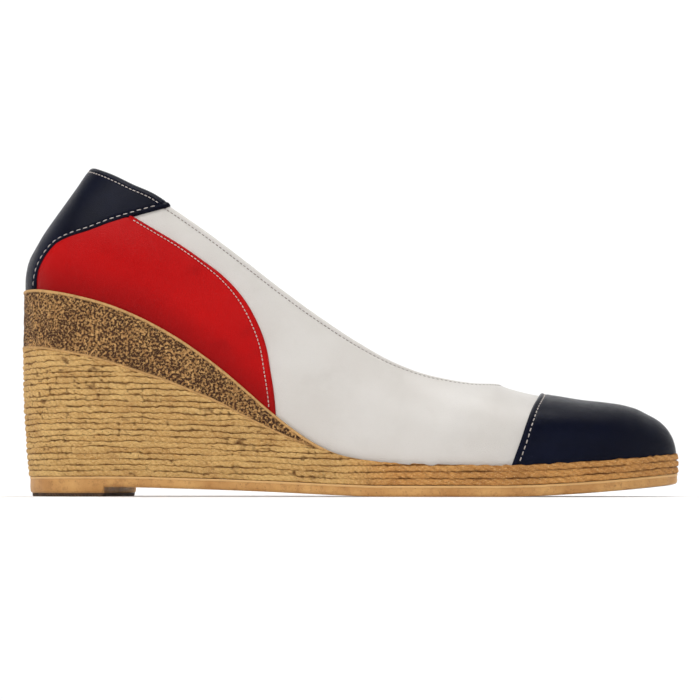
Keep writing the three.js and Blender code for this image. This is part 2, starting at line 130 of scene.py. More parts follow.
# Place, then the topline from the throat's height (0) to the back's (1)
TOPLINE = (
    (0.0, 1.16), (0.105, 1.0), (0.128, 0.967), (0.151, 0.936), (0.188, 0.88), (0.216, 0.842),
    (0.2455, 0.785), (0.296, 0.68), (0.357, 0.543), (0.417, 0.403), (0.477, 0.273), (0.5366, 0.157),
    (0.595, 0.068), (0.624, 0.037), (0.653, 0.017), (0.6825, 0.003), (0.7057, -0.003), (0.729, 0.0),
    (0.8, 0.06), (1.0, 0.5),
)
RIDGE = ((0.0, 0.0), (0.3, 0.3), (0.65, 1.0), (0.85, 0.6), (1.0, 0.0))

# Panel edges in side view: place along the sole, then height as a share of the back height
COUNTER_EDGE = (
    (0.27, 0.86), (0.2463, 0.8522), (0.196, 0.8243), (0.1585, 0.801), (0.1305, 0.7804),
    (0.1008, 0.7628), (0.078, 0.7444), (0.0618, 0.7165), (0.0504, 0.6837), (0.0439, 0.6542),
    (0.0407, 0.6126), (0.04, 0.54),
)
QUARTER_EDGE = (
    (0.155, 0.87), (0.1947, 0.821), (0.2317, 0.777), (0.2659, 0.7356), (0.3, 0.6885),
    (0.327, 0.6486), (0.351, 0.602), (0.3707, 0.5495), (0.3878, 0.484), (0.398, 0.425),
    (0.4035, 0.3666), (0.409, 0.3027), (0.412, 0.2476), (0.414, 0.16),
)
TOE_CAP_EDGE = (
    (0.806, 0.36), (0.797, 0.3), (0.784, 0.252), (0.775, 0.208), (0.766, 0.156), (0.757, 0.108),
    (0.75, 0.07), (0.743, 0.02),
)


def through(rows, column=1):
    """A smooth curve through a table's rows that never overshoots them."""
    x = np.array([row[0] for row in rows])
    y = np.array([row[column] for row in rows])
    run = np.diff(x)
    slope = np.diff(y) / run
    tangent = np.empty_like(y)
    tangent[0], tangent[-1] = slope[0], slope[-1]
    with np.errstate(divide="ignore", invalid="ignore"):
        before, after = 2 * run[1:] + run[:-1], run[1:] + 2 * run[:-1]
        middle = (before + after) / (before / slope[:-1] + after / slope[1:])
    tangent[1:-1] = np.where(slope[:-1] * slope[1:] > 0, middle, 0)

    def value(at):
        at = np.clip(at, x[0], x[-1])
        i = np.clip(np.searchsorted(x, at) - 1, 0, len(x) - 2)
        t = (at - x[i]) / run[i]
        fore, aft = t * t * (3 - 2 * t), t * (1 - t)
        bend = (1 - t) * tangent[i] - t * tangent[i + 1]
        return y[i] + (y[i + 1] - y[i]) * fore + aft * run[i] * bend

    return value


lateral_share, medial_share = through(OUTLINE, 1), through(OUTLINE, 2)
rim_share, arch_share, cork_share = through(RIM), through(ARCH), through(CORK)
taper_share, crown_share = through(TAPER), through(CROWN)
topline_share, ridge_share = through(TOPLINE), through(RIDGE)


def end_round(distance, reach, power=2.0):
    """A quarter-round end: 0 at the tip, 1 from the reach inwards."""
    return (1 - (1 - np.clip(distance / reach, 0, 1)) ** power) ** (1 / power)


def spring_z(x):
    past = np.clip((x / SOLE_LENGTH - SPRING_START) / (1 - SPRING_START), 0, None)
    return TOE_SPRING * past**SPRING_POWER


def rim_z(x):
    rise = (HEEL_HEIGHT - PLATFORM_HEIGHT) * rim_share(x / SOLE_LENGTH)
    return PLATFORM_HEIGHT + rise + spring_z(x)


def above_rim(points):
    return points[..., 2] - rim_z(points[..., 0])


def seat_z(x):
    return rim_z(x) - RIM_LIP


def underside_z(x):
    return WAIST_LIFT * arch_share(x / SOLE_LENGTH) + spring_z(x)


def seam_z(x):
    return underside_z(x) + OUTSOLE_THICKNESS


def cork_z(x):
    return rim_z(x) - CORK_THICKNESS * cork_share(x / SOLE_LENGTH)


def topline_z(x):
    throat, back = PLATFORM_HEIGHT + THROAT_RISE, HEEL_HEIGHT + BACK_RISE
    return throat + (back - throat) * topline_share(x / SOLE_LENGTH)


def taper_inset(x, height):
    reach = HEEL_HEIGHT - CORK_THICKNESS - OUTSOLE_THICKNESS
    left = np.clip(1 - height / reach, 0, None)
    return HEEL_TAPER * taper_share(x / SOLE_LENGTH) * left**2


def outline_point(turn):
    """x and y on the sole's outline. turn goes from 0 at the heel's tip along the lateral side to
    pi at the toe's tip, and back along the medial side."""
    at = (1 - np.cos(turn)) / 2
    ends = end_round(at, HEEL_ROUND) * end_round(1 - at, TOE_ROUND)
    lateral = np.sin(turn) > 0
    share = np.where(lateral, -lateral_share(at), medial_share(at))
    return at * SOLE_LENGTH, BALL_WIDTH / 2 * share * ends


def inset_point(turn, inset):
    """The outline drawn in along its own normal."""
    step = 1e-3
    x, y = outline_point(turn)
    ahead, behind = outline_point(turn + step), outline_point(turn - step)
    run_x, run_y = ahead[0] - behind[0], ahead[1] - behind[1]
    run = np.hypot(run_x, run_y)
    return x - run_y / run * inset, y + run_x / run * inset


def upper_point(turn, across):
    """A point of the upper's outside. across goes from -1, the lateral feather line, over the
    crown at 0 to the medial feather line at 1."""
    lateral = inset_point(turn, UPPER_INSET)
    medial = inset_point(2 * math.pi - turn, UPPER_INSET)
    crown_x = (lateral[0] + medial[0]) / 2
    at = crown_x / SOLE_LENGTH
    back = end_round(crown_x - UPPER_INSET, BACK_CURVE_REACH, 3)
    toe = end_round(SOLE_LENGTH - UPPER_INSET - crown_x, TOE_CURVE_REACH, 2.2)
    height = CONE_HEIGHT * crown_share(at) * back * toe
    width = np.minimum(1, (medial[1] - lateral[1]) / BALL_WIDTH)
    ridge = RIDGE_SHIFT * ridge_share(at) * width
    belly = np.minimum(BELLY_HEIGHT, height * BELLY_SHARE)
    on_wall = np.abs(across) > 1 - WALL_SHARE
    over = (1 - np.abs(across)) / WALL_SHARE
    tuck = np.where(on_wall, FEATHER_TUCK * (1 - over) ** 2, 0)
    foot = np.where(across < 0, turn, 2 * math.pi - turn)
    side_x, side_y = inset_point(foot, UPPER_INSET + tuck)
    angle = math.pi / 2 * (1 - np.abs(across) / (1 - WALL_SHARE))
    out = np.where(on_wall, 1, np.cos(angle))
    lift = np.where(on_wall, belly * over, belly + (height - belly) * np.sin(angle))
    x = crown_x + (side_x - crown_x) * out
    y = ridge + (side_y - ridge) * out
    return np.stack([x, y, seat_z(x) + SEAT_GAP + lift], -1)


def unit(v):
    return v / np.maximum(np.linalg.norm(v, axis=-1, keepdims=True), 1e-12)


def upper_normal(turn, across):
    """The upper's outward normal, level at the feather line."""
    step = 1e-3
    along = upper_point(turn + step, across) - upper_point(turn - step, across)
    over = upper_point(turn, np.minimum(across + step, 1))
    under = upper_point(turn, np.maximum(across - step, -1))
    normal = np.cross(along, over - under)
    normal[..., 2] = np.where(np.abs(across) > 1 - 1e-9, 0, normal[..., 2])
    return unit(normal)


def noise(x, y, seed):
    """Smooth noise from -1 to 1, about one bump for each unit of x and y."""
    grid = np.random.default_rng(seed).uniform(-1, 1, (256, 256))
    x, y = np.broadcast_arrays(x, y)
    column, row = np.floor(x).astype(int), np.floor(y).astype(int)
    u, v = x - column, y - row
    u, v = u * u * (3 - 2 * u), v * v * (3 - 2 * v)
    c0, c1, r0, r1 = column % 256, (column + 1) % 256, row % 256, (row + 1) % 256
    low = grid[r0, c0] * (1 - u) + grid[r0, c1] * u
    high = grid[r1, c0] * (1 - u) + grid[r1, c1] * u
    return low * (1 - v) + high * v


def smooth(value, low, high):
    t = np.clip((value - low) / (high - low), 0, 1)
    return t * t * (3 - 2 * t)


def bell(distance, width):
    return np.exp(-((distance / width) ** 2))


# Meshes

SHIFT = Vector((WEDGE_LOW.x, (WEDGE_LOW.y + WEDGE_HIGH.y) / 2, 0))
OUTLINE_Y = outline_point(np.linspace(0, 2 * math.pi, 2001))[1]
MIDDLE_Y = (OUTLINE_Y.min() + OUTLINE_Y.max()) / 2


def to_frame(points):
    """Shoe millimetres to frame metres."""
    return points * MM + np.array([SHIFT.x, SHIFT.y - MIDDLE_Y * MM, 0])


def make_object(name, points, faces, materials):
    """A smooth-shaded mesh object from points in metres."""
    mesh = bpy.data.meshes.new(name)
    mesh.from_pydata(points, [], faces)
    for material in materials:
        mesh.materials.append(material)
    mesh.polygons.foreach_set("use_smooth", np.ones(len(mesh.polygons), bool))
    made = bpy.data.objects.new(name, mesh)
    bpy.context.scene.collection.objects.link(made)
    return made


def quads(numbers, flip=False, closed=False):
    """Quads over a grid of vertex numbers. closed joins the end of each row to its start."""
    numbers = np.array(numbers)
    if closed:
        numbers = np.concatenate([numbers, numbers[:, :1]], 1)
    corners = numbers[:-1, :-1], numbers[:-1, 1:], numbers[1:, 1:], numbers[1:, :-1]
    faces = np.stack(corners, -1).reshape(-1, 4)
    return faces[:, ::-1] if flip else faces


class Skin:
    """A piece's mesh, gathered part by part: points in shoe millimetres, faces, material numbers,
    and facts, which are values for each point that the materials read."""

    def __init__(self):
        self.points, self.faces, self.slots, self.facts = [], [], [], {}
        self.count = 0

    def place(self, points, **facts):
        """Adds points, and returns their vertex numbers in the same shape."""
        numbers = np.arange(points.size // 3).reshape(points.shape[:-1]) + self.count
        self.count += numbers.size
        self.points.append(points.reshape(-1, 3))
        for name, values in facts.items():
            vector = (3,) if np.ndim(values) > numbers.ndim else ()
            spread = np.broadcast_to(values, numbers.shape + vector)
            self.facts.setdefault(name, []).append(spread.reshape(-1, *vector))
        return numbers

    def cover(self, numbers, slot=0, flip=False, closed=False, keep=None):
        """Adds quads over a grid of vertex numbers, or only those that keep marks."""
        faces = quads(numbers, flip, closed)
        self.add_faces((faces if keep is None else faces[keep.ravel()]).tolist(), slot)

    def add_faces(self, faces, slot=0):
        self.faces += faces
        self.slots += [slot] * len(faces)

    def spots(self, numbers):
        return np.concatenate(self.points)[numbers]

    def piece(self, name, materials, slot_name, *replaced):
        """Makes the piece, less any unused points and any faces that have shrunk to a line."""
        faces = [[n for i, n in enumerate(face) if n != face[i - 1]] for face in self.faces]
        slots = [slot for slot, face in zip(self.slots, faces) if len(face) > 2]
        faces = [face for face in faces if len(face) > 2]
        used = np.unique([number for face in faces for number in face])
        fresh = np.zeros(self.count, int)
        fresh[used] = np.arange(len(used))
        faces = [fresh[face].tolist() for face in faces]
        made = make_object(name, to_frame(self.spots(used)).tolist(), faces, materials)
        made.data.polygons.foreach_set("material_index", np.array(slots, np.int32))
        for key, values in self.facts.items():
            values = np.concatenate(values)[used].astype(np.float32)
            kind, field = ("FLOAT_VECTOR", "vector") if values.ndim == 2 else ("FLOAT", "value")
            attribute = made.data.attributes.new(key, kind, "POINT")
            attribute.data.foreach_set(field, values.ravel())
        made.data.update()
        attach(made, "root")
        if replaced:
            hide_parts(*replaced)


def halve(test, low=0.0, high=1.0, steps=40):
    """Closes in on the place between low and high where a test stops being true."""
    for _ in range(steps):
        middle = (low + high) / 2
        passed = test(middle)
        low, high = np.where(passed, middle, low), np.where(passed, high, middle)
    return (low + high) / 2


# A fine net over the upper's form, on which panels and stitches are laid

NET_TURNS, NET_ACROSS = 420, 181
NET_END = 0.004  # the net stops this turn short of both tips


def build_net():
    turns = np.linspace(NET_END, math.pi - NET_END, NET_TURNS)
    turn, across = np.meshgrid(turns, np.linspace(-1, 1, NET_ACROSS), indexing="ij")
    points = upper_point(turn, across).reshape(-1, 3)
    cells = quads(np.arange(len(points)).reshape(turn.shape))
    triangles = np.concatenate([cells[:, [0, 1, 2]], cells[:, [0, 2, 3]]])
    tree = BVHTree.FromPolygons(points.tolist(), triangles.tolist())
    return tree, points, triangles, turn.ravel(), across.ravel()


NET_TREE, NET_POINTS, NET_TRIANGLES, NET_TURN, NET_SIDE = build_net()


def lift(points):
    """The nearest places on the upper's form, as turn and across."""
    found = [NET_TREE.find_nearest(point) for point in np.reshape(points, (-1, 3)).tolist()]
    spots = np.array([tuple(hit[0]) for hit in found])
    corners = NET_TRIANGLES[[hit[2] for hit in found]]
    a, b, c = (NET_POINTS[corners[:, k]] for k in range(3))
    ab, ac, ap = b - a, c - a, spots - a
    d00, d01, d11 = (ab * ab).sum(1), (ab * ac).sum(1), (ac * ac).sum(1)
    d20, d21 = (ap * ab).sum(1), (ap * ac).sum(1)
    bottom = np.maximum(d00 * d11 - d01 * d01, 1e-15)
    v, w = (d11 * d20 - d01 * d21) / bottom, (d00 * d21 - d01 * d20) / bottom
    weights = np.stack([1 - v - w, v, w], -1)
    turn, across = (NET_TURN[corners] * weights).sum(1), (NET_SIDE[corners] * weights).sum(1)
    shape = np.shape(points)[:-1]
    return turn.reshape(shape), np.clip(across, -1, 1).reshape(shape)


def on_form(points):
    """Points moved onto the form, and the normals there."""
    turn, across = lift(points)
    return upper_point(turn, across), upper_normal(turn, across)


def run_length(*columns):
    """The length run along a line of points up to each point."""
    steps = np.sqrt(sum(np.diff(column) ** 2 for column in columns))
    return np.concatenate([[0], np.cumsum(steps)])


def resample(line, count):
    """A line of points at even steps."""
    length = run_length(*line.T)
    wanted = np.linspace(0, length[-1], count)
    return np.stack([np.interp(wanted, length, column) for column in line.T], -1)


def spline(rows, samples=240):
    """The panel edge that the frame's solids were cut with, in side view."""
    knots = np.array(rows) * [SOLE_LENGTH, HEEL_HEIGHT + BACK_RISE]
    place = np.linspace(0, 1, samples + 1) * (len(knots) - 1)
    i = np.minimum(place.astype(int), len(knots) - 2)
    t = (place - i)[:, None]
    before, after = knots[np.maximum(i - 1, 0)], knots[np.minimum(i + 2, len(knots) - 1)]
    start, end = knots[i], knots[i + 1]
    first, last = (end - before) / 2, (after - start) / 2
    rise, leave, arrive = t * t * (3 - 2 * t), t * (1 - t) ** 2, t * t * (t - 1)
    return start * (1 - rise) + end * rise + first * leave + last * arrive


def side_points(line, side):
    """Points of a side-view line on one side of the form: the place where x and z both match."""
    x, z = line.T
    turn = np.arccos(np.clip(1 - 2 * x / SOLE_LENGTH, -1, 1))
    for _ in range(10):
        across = side * halve(lambda share: upper_point(turn, side * share)[:, 2] > z, steps=32)
        miss = x - upper_point(turn, across)[:, 0]
        step = miss / (SOLE_LENGTH / 2 * np.maximum(np.sin(turn), 0.2))
        turn = np.clip(turn + step, NET_END, math.pi - NET_END)
    return upper_point(turn, across)


def distance_to(points, line, batch=4000):
    """The distance from each point to a line of close points."""
    flat = points.reshape(-1, 3)
    nearest = np.empty(len(flat))
    for start in range(0, len(flat), batch):
        gap = flat[start : start + batch, None, :] - line[None, :, :]
        nearest[start : start + batch] = np.sqrt((gap**2).sum(-1).min(1))
    return nearest.reshape(points.shape[:-1])


# The topline: where the opening's edge crosses each arch

EDGE_ROUND = WALL / 2


def opening_gap(turn, across):
    point = upper_point(turn, across)
    return point[..., 2] - (topline_z(point[..., 0]) - EDGE_ROUND)


def crossing(low, high):
    """The turn between two at which the crown line crosses the topline."""
    rising = opening_gap(low, 0.0) < 0
    return float(halve(lambda turn: (opening_gap(turn, 0.0) < 0) == rising, low, high))


BACK_TURN = crossing(0.3, 1.2)
THROAT_TURN = crossing(1.6, 2.4)


def edge_across(turn, side):
    """How far from the crown the opening's edge lies on each arch, 0 where the arch is whole."""
    edge = halve(lambda share: opening_gap(turn, side * share) > 0)
    opened = (turn > BACK_TURN) & (turn < THROAT_TURN)
    return np.where(opened, edge, 0)


def eased(count):
    """Steps from 0 to 1 that lie closer together at both ends."""
    return (1 - np.cos(np.linspace(0, math.pi, count))) / 2


def topline_loop(count):
    """The opening's edge as a closed loop: lateral from the back to the throat, then medial."""
    turn = BACK_TURN + (THROAT_TURN - BACK_TURN) * eased(count)
    lateral, medial = (upper_point(turn, side * edge_across(turn, side)) for side in SIDES)
    return np.concatenate([lateral, medial[-2:0:-1]])


TOPLINE_POINTS = topline_loop(400)


def inward(line, normals, towards, closed=False):
    """Unit steps in the surface, square to a line, that point towards a place."""
    if closed:
        run = np.roll(line, -1, 0) - np.roll(line, 1, 0)
    else:
        run = np.gradient(line, axis=0)
    step = unit(np.cross(run, normals))
    facing = ((towards - line) * step).sum(-1)
    return step * np.where(facing < 0, -1, 1)[:, None]


# Materials


class Shader:
    """A node tree around one Principled shader, built by short calls."""

    def __init__(self, name):
        self.material = bpy.data.materials.new(name)
        self.material.use_nodes = True
        self.tree = self.material.node_tree
        self.shader = self.tree.nodes["Principled BSDF"]
        self.place = self.add("ShaderNodeTexCoord").outputs["Object"]

    def add(self, kind, settings=(), **inputs):
        """A node with its settings, and its inputs set by name with _ for a space."""
        node = self.tree.nodes.new(kind)
        for key, value in dict(settings).items():
            setattr(node, key, value)
        for key, value in inputs.items():
            self.join(value, node.inputs[key.replace("_", " ")])
        return node

    def join(self, value, socket):
        if isinstance(value, bpy.types.NodeSocket):
            self.tree.links.new(value, socket)
        else:
            socket.default_value = value

    def fact(self, name, out="Fac"):
        return self.add("ShaderNodeAttribute", {"attribute_name": name}).outputs[out]

    def noise(self, scale, detail=3.0, where=None, rough=0.5):
        inputs = {"Vector": where or self.place, "Scale": scale, "Detail": detail, "Roughness": rough}
        return self.add("ShaderNodeTexNoise", **inputs).outputs["Fac"]

    def cells(self, scale, where=None, feature="F1", out="Distance"):
        settings = {"feature": feature}
        node = self.add("ShaderNodeTexVoronoi", settings, Vector=where or self.place, Scale=scale)
        return node.outputs[out]

    def span(self, value, low, high, start=0.0, end=1.0):
        node = self.add("ShaderNodeMapRange", Value=value)
        for socket, number in zip(node.inputs[1:5], (low, high, start, end)):
            self.join(number, socket)
        return node.outputs["Result"]

    def sums(self, operation, first, second):
        node = self.add("ShaderNodeMath", {"operation": operation})
        self.join(first, node.inputs[0])
        self.join(second, node.inputs[1])
        return node.outputs["Value"]

    def plus(self, first, second):
        return self.sums("ADD", first, second)

    def times(self, first, second):
        return self.sums("MULTIPLY", first, second)

    def rest(self, share):
        return self.sums("SUBTRACT", 1.0, share)

    def mix(self, share, first, second):
        node = self.add("ShaderNodeMix", {"data_type": "RGBA"})
        sockets = [s for s in node.inputs if s.type == "RGBA"]
        self.join(share, node.inputs["Factor"])
        self.join(first, sockets[0])
        self.join(second, sockets[1])
        return next(s for s in node.outputs if s.type == "RGBA")

    def cloud(self, first, second, noise, *span):
        """The first colour with the second over it in clouds, as a span of noise says."""
        return self.mix(self.span(self.noise(*noise), *span), first, second)

    def bump(self, height, depth, strength=1.0, below=None):
        node = self.add("ShaderNodeBump", Height=height, Strength=strength, Distance=depth)
        if below is not None:
            self.join(below, node.inputs["Normal"])
        return node.outputs["Normal"]

    def finish(self, colour, roughness, normal=None, **plain):
        self.join(colour, self.shader.inputs["Base Color"])
        self.join(roughness, self.shader.inputs["Roughness"])
        if normal is not None:
            self.join(normal, self.shader.inputs["Normal"])
        for key, value in plain.items():
            self.shader.inputs[key.replace("_", " ")].default_value = value
        return self.material


def tint(red, green, blue):
    """A colour given as it looks on screen, 0 to 255, as linear light."""
    shares = [part / 255 for part in (red, green, blue)]
    return (*(s / 12.92 if s <= 0.04045 else ((s + 0.055) / 1.055) ** 2.4 for s in shares), 1.0)


def leather(name, base, light, dark, rough, shine, grain=0.00009):
    """Smooth calf: fine pebbled grain, pores, slow clouding of the colour and faint scuffs.
    'shade' is painted shade: it darkens a panel towards the rim, where the leather turns under."""
    s = Shader(name)
    colour = s.cloud(base, light, (38, 4), 0.42, 0.7, 0, 0.8)
    colour = s.cloud(colour, dark, (95, 5), 0.58, 0.8, 0, 0.35)
    pebble = s.span(s.cells(1500, feature="DISTANCE_TO_EDGE"), 0, 0.22)
    pores = s.span(s.cells(760), 0.0, 0.22)
    colour = s.mix(s.span(pores, 0, 1, 0.14, 0), colour, dark)
    # Painted shade: panels that set 'shade' go darker towards the rim
    colour = s.mix(s.times(s.fact("shade"), 0.55), colour, dark)
    low = s.bump(pebble, grain, 0.42)
    low = s.bump(pores, grain * 0.8, 0.3, low)
    low = s.bump(s.noise(330, 4), 0.0001, 0.3, low)
    low = s.bump(s.noise(55, 2), 0.0003, 0.2, low)
    wear = s.span(s.noise(320, 6, rough=0.65), 0.45, 0.75)
    coat = {"Coat_Weight": shine * 0.25, "Coat_Roughness": 0.3}
    return s.finish(colour, s.span(wear, 0, 1, *rough), low, Specular_IOR_Level=shine, **coat)


def lining_leather(name, base, dark):
    s = Shader(name)
    pores = s.span(s.cells(1250), 0, 0.3)
    colour = s.cloud(base, dark, (34, 4), 0.4, 0.7, 0, 0.4)
    colour = s.mix(s.span(pores, 0, 1, 0.25, 0), colour, dark)
    low = s.bump(pores, 0.00006, 0.5)
    low = s.bump(s.noise(160, 4), 0.0003, 0.25, low)
    return s.finish(colour, s.span(s.noise(300, 4), 0.3, 0.7, 0.55, 0.72), low)


def thread(name, base, dark):
    s = Shader(name)
    colour = s.cloud(base, dark, (2600, 2), 0.4, 0.65)
    ply = s.add("ShaderNodeTexWave", {"wave_type": "BANDS"}, Vector=s.place, Scale=900.0, Distortion=3.0)
    low = s.bump(ply.outputs["Fac"], 0.00008, 0.6)
    return s.finish(colour, 0.62, low, Sheen_Weight=0.2)


def rope_material():
    """Jute courses: 'hollow' is painted shade, darkening the crevices, pits and twist troughs, 'tone'
    varies the strands and holds some painted shade in the twist troughs, 'warm' marks the forefoot, and
    'flow' is the place along the courses."""
    s = Shader("jute rope")
    hollow, tone, warm, flow = s.fact("hollow"), s.fact("tone"), s.fact("warm"), s.fact("flow", "Vector")
    fibre_place = s.add("ShaderNodeMapping", Vector=flow, Scale=(0.5, 2.4, 1.0)).outputs["Vector"]
    fibre = s.noise(1.5, 4, fibre_place, 0.65)
    pale = s.mix(warm, tint(242, 203, 133), tint(230, 172, 98))
    deep = s.mix(warm, tint(188, 138, 74), tint(168, 108, 52))
    blend = s.plus(s.times(tone, 0.6), s.span(fibre, 0.3, 0.7, -0.15, 0.6))
    colour = s.mix(s.span(blend, 0.05, 0.95), pale, deep)
    colour = s.cloud(colour, tint(158, 108, 56), (0.09, 4, flow, 0.6), 0.48, 0.7, 0, 0.4)
    broken = s.span(s.noise(0.5, 4, flow, 0.7), 0.32, 0.6, 0.4, 1)
    # Painted shade: the crevices go dark brown, broken up here and there
    crevice = s.times(s.span(hollow, 0.2, 0.75, 0, 0.95), broken)
    colour = s.mix(crevice, colour, s.mix(fibre, tint(62, 32, 12), tint(118, 72, 32)))
    # Painted highlight: pale glints on the strand tops, kept out of the crevices
    painted_highlight = s.span(s.noise(2.0, 3, fibre_place, 0.7), 0.57, 0.68, 0, 0.8)
    colour = s.mix(s.times(painted_highlight, s.rest(hollow)), colour, tint(255, 230, 172))
    colour = s.cloud(colour, tint(96, 60, 28), (1.25, 3, flow, 0.7), 0.62, 0.69, 0, 0.8)
    low = s.bump(fibre, 0.0005, 0.8)
    low = s.bump(s.noise(2.0, 4, flow, 0.7), 0.0003, 0.7, low)
    return s.finish(colour, s.span(fibre, 0.3, 0.7, 0.6, 0.82), low, Specular_IOR_Level=0.3)


def cork_material():
    """Pressed cork granules with dark bark flecks and painted highlight specks; 'lip' is 1 on the smooth
    strip at its edges.
    """
    s = Shader("pressed cork")
    flow, lip = s.fact("flow", "Vector"), s.fact("lip")
    granule = s.add("ShaderNodeSeparateColor", Color=s.cells(1.15, flow, out="Color")).outputs
    colour = s.mix(granule["Red"], tint(206, 158, 96), tint(150, 104, 54))
    field = s.plus(s.noise(1.15, 4, flow, 0.62), s.span(granule["Green"], 0, 1, -0.05, 0.05))
    patchy = s.span(s.noise(0.11, 3, flow), 0.3, 0.7, 0.045, -0.025)
    fleck = s.times(s.span(s.plus(field, patchy), 0.485, 0.53), s.rest(lip))
    bark = s.cloud(tint(40, 22, 11), tint(92, 58, 30), (2.4, 3, flow), 0.35, 0.65)
    colour = s.mix(fleck, colour, bark)
    # Painted highlight: pale specks between the dark flecks
    shine = s.span(s.noise(2.8, 2, flow), 0.62, 0.72, 0, 0.5)
    colour = s.mix(s.times(shine, s.rest(fleck)), colour, tint(236, 196, 136))
    colour = s.mix(s.times(lip, 0.6), colour, tint(206, 162, 102))
    colour = s.cloud(colour, tint(112, 72, 36), (0.5, 4, flow, 0.7), 0.55, 0.72, 0, 0.4)
    low = s.bump(s.rest(fleck), 0.0006, 0.9)
    low = s.bump(s.noise(2.0, 4, flow), 0.0003, 0.8, low)
    return s.finish(colour, s.span(fleck, 0, 1, 0.6, 0.85), low, Specular_IOR_Level=0.35)


def rubber_material():
    """Moulded tan rubber with cloudy mottling; 'lip' is 1 on the paler band along its top."""
    s = Shader("tan rubber")
    colour = s.cloud(tint(214, 164, 98), tint(182, 128, 66), (90, 5), 0.35, 0.7)
    colour = s.cloud(colour, tint(146, 94, 44), (420, 5, None, 0.7), 0.52, 0.75, 0, 0.7)
    colour = s.cloud(colour, tint(112, 72, 36), (1400, 3), 0.62, 0.72, 0, 0.5)
    colour = s.mix(s.times(s.fact("lip"), 0.6), colour, tint(232, 190, 128))
    low = s.bump(s.noise(900, 4), 0.00008, 0.5)
    low = s.bump(s.noise(150, 3), 0.0003, 0.3, low)
    return s.finish(colour, s.span(s.noise(260, 4), 0.3, 0.7, 0.42, 0.6), low)


def sole_bottom_material():
    """The sole's underside; 'groove' paints shade into what is cut into it."""
    s = Shader("sole bottom rubber")
    colour = s.cloud(tint(176, 142, 106), tint(148, 112, 78), (60, 5), 0.35, 0.7)
    colour = s.cloud(colour, tint(120, 88, 58), (500, 5, None, 0.7), 0.5, 0.8, 0, 0.5)
    # Painted shade: the tread grooves go nearly black
    colour = s.mix(s.times(s.fact("groove"), 0.95), colour, tint(52, 34, 22))
    low = s.bump(s.noise(700, 5), 0.0001, 0.6)
    return s.finish(colour, s.span(s.noise(200, 4), 0.3, 0.7, 0.5, 0.75), low)


def heel_rubber_material():
    s = Shader("dark heel rubber")
    colour = s.cloud(tint(84, 64, 46), tint(56, 42, 32), (300, 5), 0.4, 0.7)
    low = s.bump(s.noise(1100, 4), 0.0001, 0.6)
    return s.finish(colour, s.span(s.noise(240, 4), 0.3, 0.7, 0.6, 0.8), low)


CREAM_TINTS = tint(209, 204, 198), tint(216, 212, 207), tint(194, 188, 181)
RED_TINTS = tint(180, 7, 9), tint(190, 11, 11), tint(118, 4, 6)
NAVY_TINTS = tint(9, 12, 27), tint(13, 18, 38), tint(6, 7, 17)
CREAM = leather("cream calf", *CREAM_TINTS, rough=(0.36, 0.48), shine=0.36)
RED = leather("red calf", *RED_TINTS, rough=(0.34, 0.46), shine=0.09)
NAVY = leather("navy calf", *NAVY_TINTS, rough=(0.3, 0.42), shine=0.06, grain=0.00007)
LINING = lining_leather("lining leather", tint(222, 210, 192), tint(200, 184, 162))
SOCK = lining_leather("sock leather", tint(216, 200, 176), tint(190, 170, 142))
GREY_THREAD = thread("grey thread", tint(150, 140, 132), tint(112, 100, 92))
PALE_THREAD = thread("pale thread", tint(214, 204, 196), tint(172, 160, 152))
ROPE = rope_material()
CORK_LOOK = cork_material()
RUBBER = rubber_material()
BOTTOM = sole_bottom_material()
HEEL_RUBBER = heel_rubber_material()


# Soft folds in the leather, in side view and millimetres; a trough's rise is negative

FOLDS = (
    # start x, start z, end x, end z, side, rise, width
    (166, 14, 186, 36, -1, -0.2, 5.5),
    (156, 14, 174, 38, -1, 0.14, 4.5),
    (148, 12, 166, 38, -1, -0.2, 5.0),
    (168, 14, 188, 36, 1, -0.26, 5.0),
    (156, 14, 176, 38, 1, -0.22, 4.5),
    (112, 26, 146, 50, -1, -0.32, 8.0),
    (104, 34, 132, 58, -1, 0.22, 7.0),
    (112, 26, 146, 50, 1, -0.34, 7.0),
    (70, 84, 112, 58, -1, -0.26, 9.0),
    (70, 84, 112, 58, 1, -0.36, 8.0),
    (28, 98, 74, 80, -1, 0.4, 7.0),
    (24, 86, 66, 72, -1, -0.32, 7.0),
    (24, 94, 62, 82, 1, -0.3, 7.0),
    (196, 22, 226, 16, -1, -0.24, 4.0),
    (198, 28, 230, 21, -1, 0.16, 4.0),
    (198, 22, 226, 17, 1, -0.2, 5.0),
)


def fold_rise(points):
    """How far the soft folds lift each point of the leather."""
    rise = 0.12 * noise(points[..., 0] / 21, points[..., 2] / 17 + points[..., 1] / 29, 11)
    for start_x, start_z, end_x, end_z, side, height, width in FOLDS:
        start, run = np.array([start_x, start_z]), np.array([end_x - start_x, end_z - start_z])
        place = points[..., (0, 2)] - start
        along = np.clip(place @ run / (run @ run), 0, 1)
        gap = np.linalg.norm(place - along[..., None] * run, axis=-1)
        fade = 4 * along * (1 - along) * smooth(side * points[..., 1], -3, 9)
        rise = rise + height * bell(gap, width) * fade
    return rise


def leather_points(turn, across, height):
    """Points of a leather surface at a height over the upper's form, folds included."""
    points = upper_point(turn, across)
    lifted = height + fold_rise(points)
    return points + upper_normal(turn, across) * lifted[..., None]


# The upper: outside, lining, the rolled topline between them, and the feather edge

TIP_TURN = 0.006
BACK_STATIONS, OPEN_STATIONS, TOE_STATIONS = 44, 230, 110
OUTER_ROWS, LINING_ROWS = 60, 24
ROLL_STEPS = 6
LINING_SLOT = 1
TOPLINE_STITCH = 0.9  # below the rolled edge


def station_turns():
    rear = np.linspace(TIP_TURN, BACK_TURN, BACK_STATIONS)
    opened = BACK_TURN + (THROAT_TURN - BACK_TURN) * eased(OPEN_STATIONS)
    front = np.linspace(THROAT_TURN, math.pi - TIP_TURN, TOE_STATIONS)
    return np.concatenate([rear[:-1], opened, front[1:]])


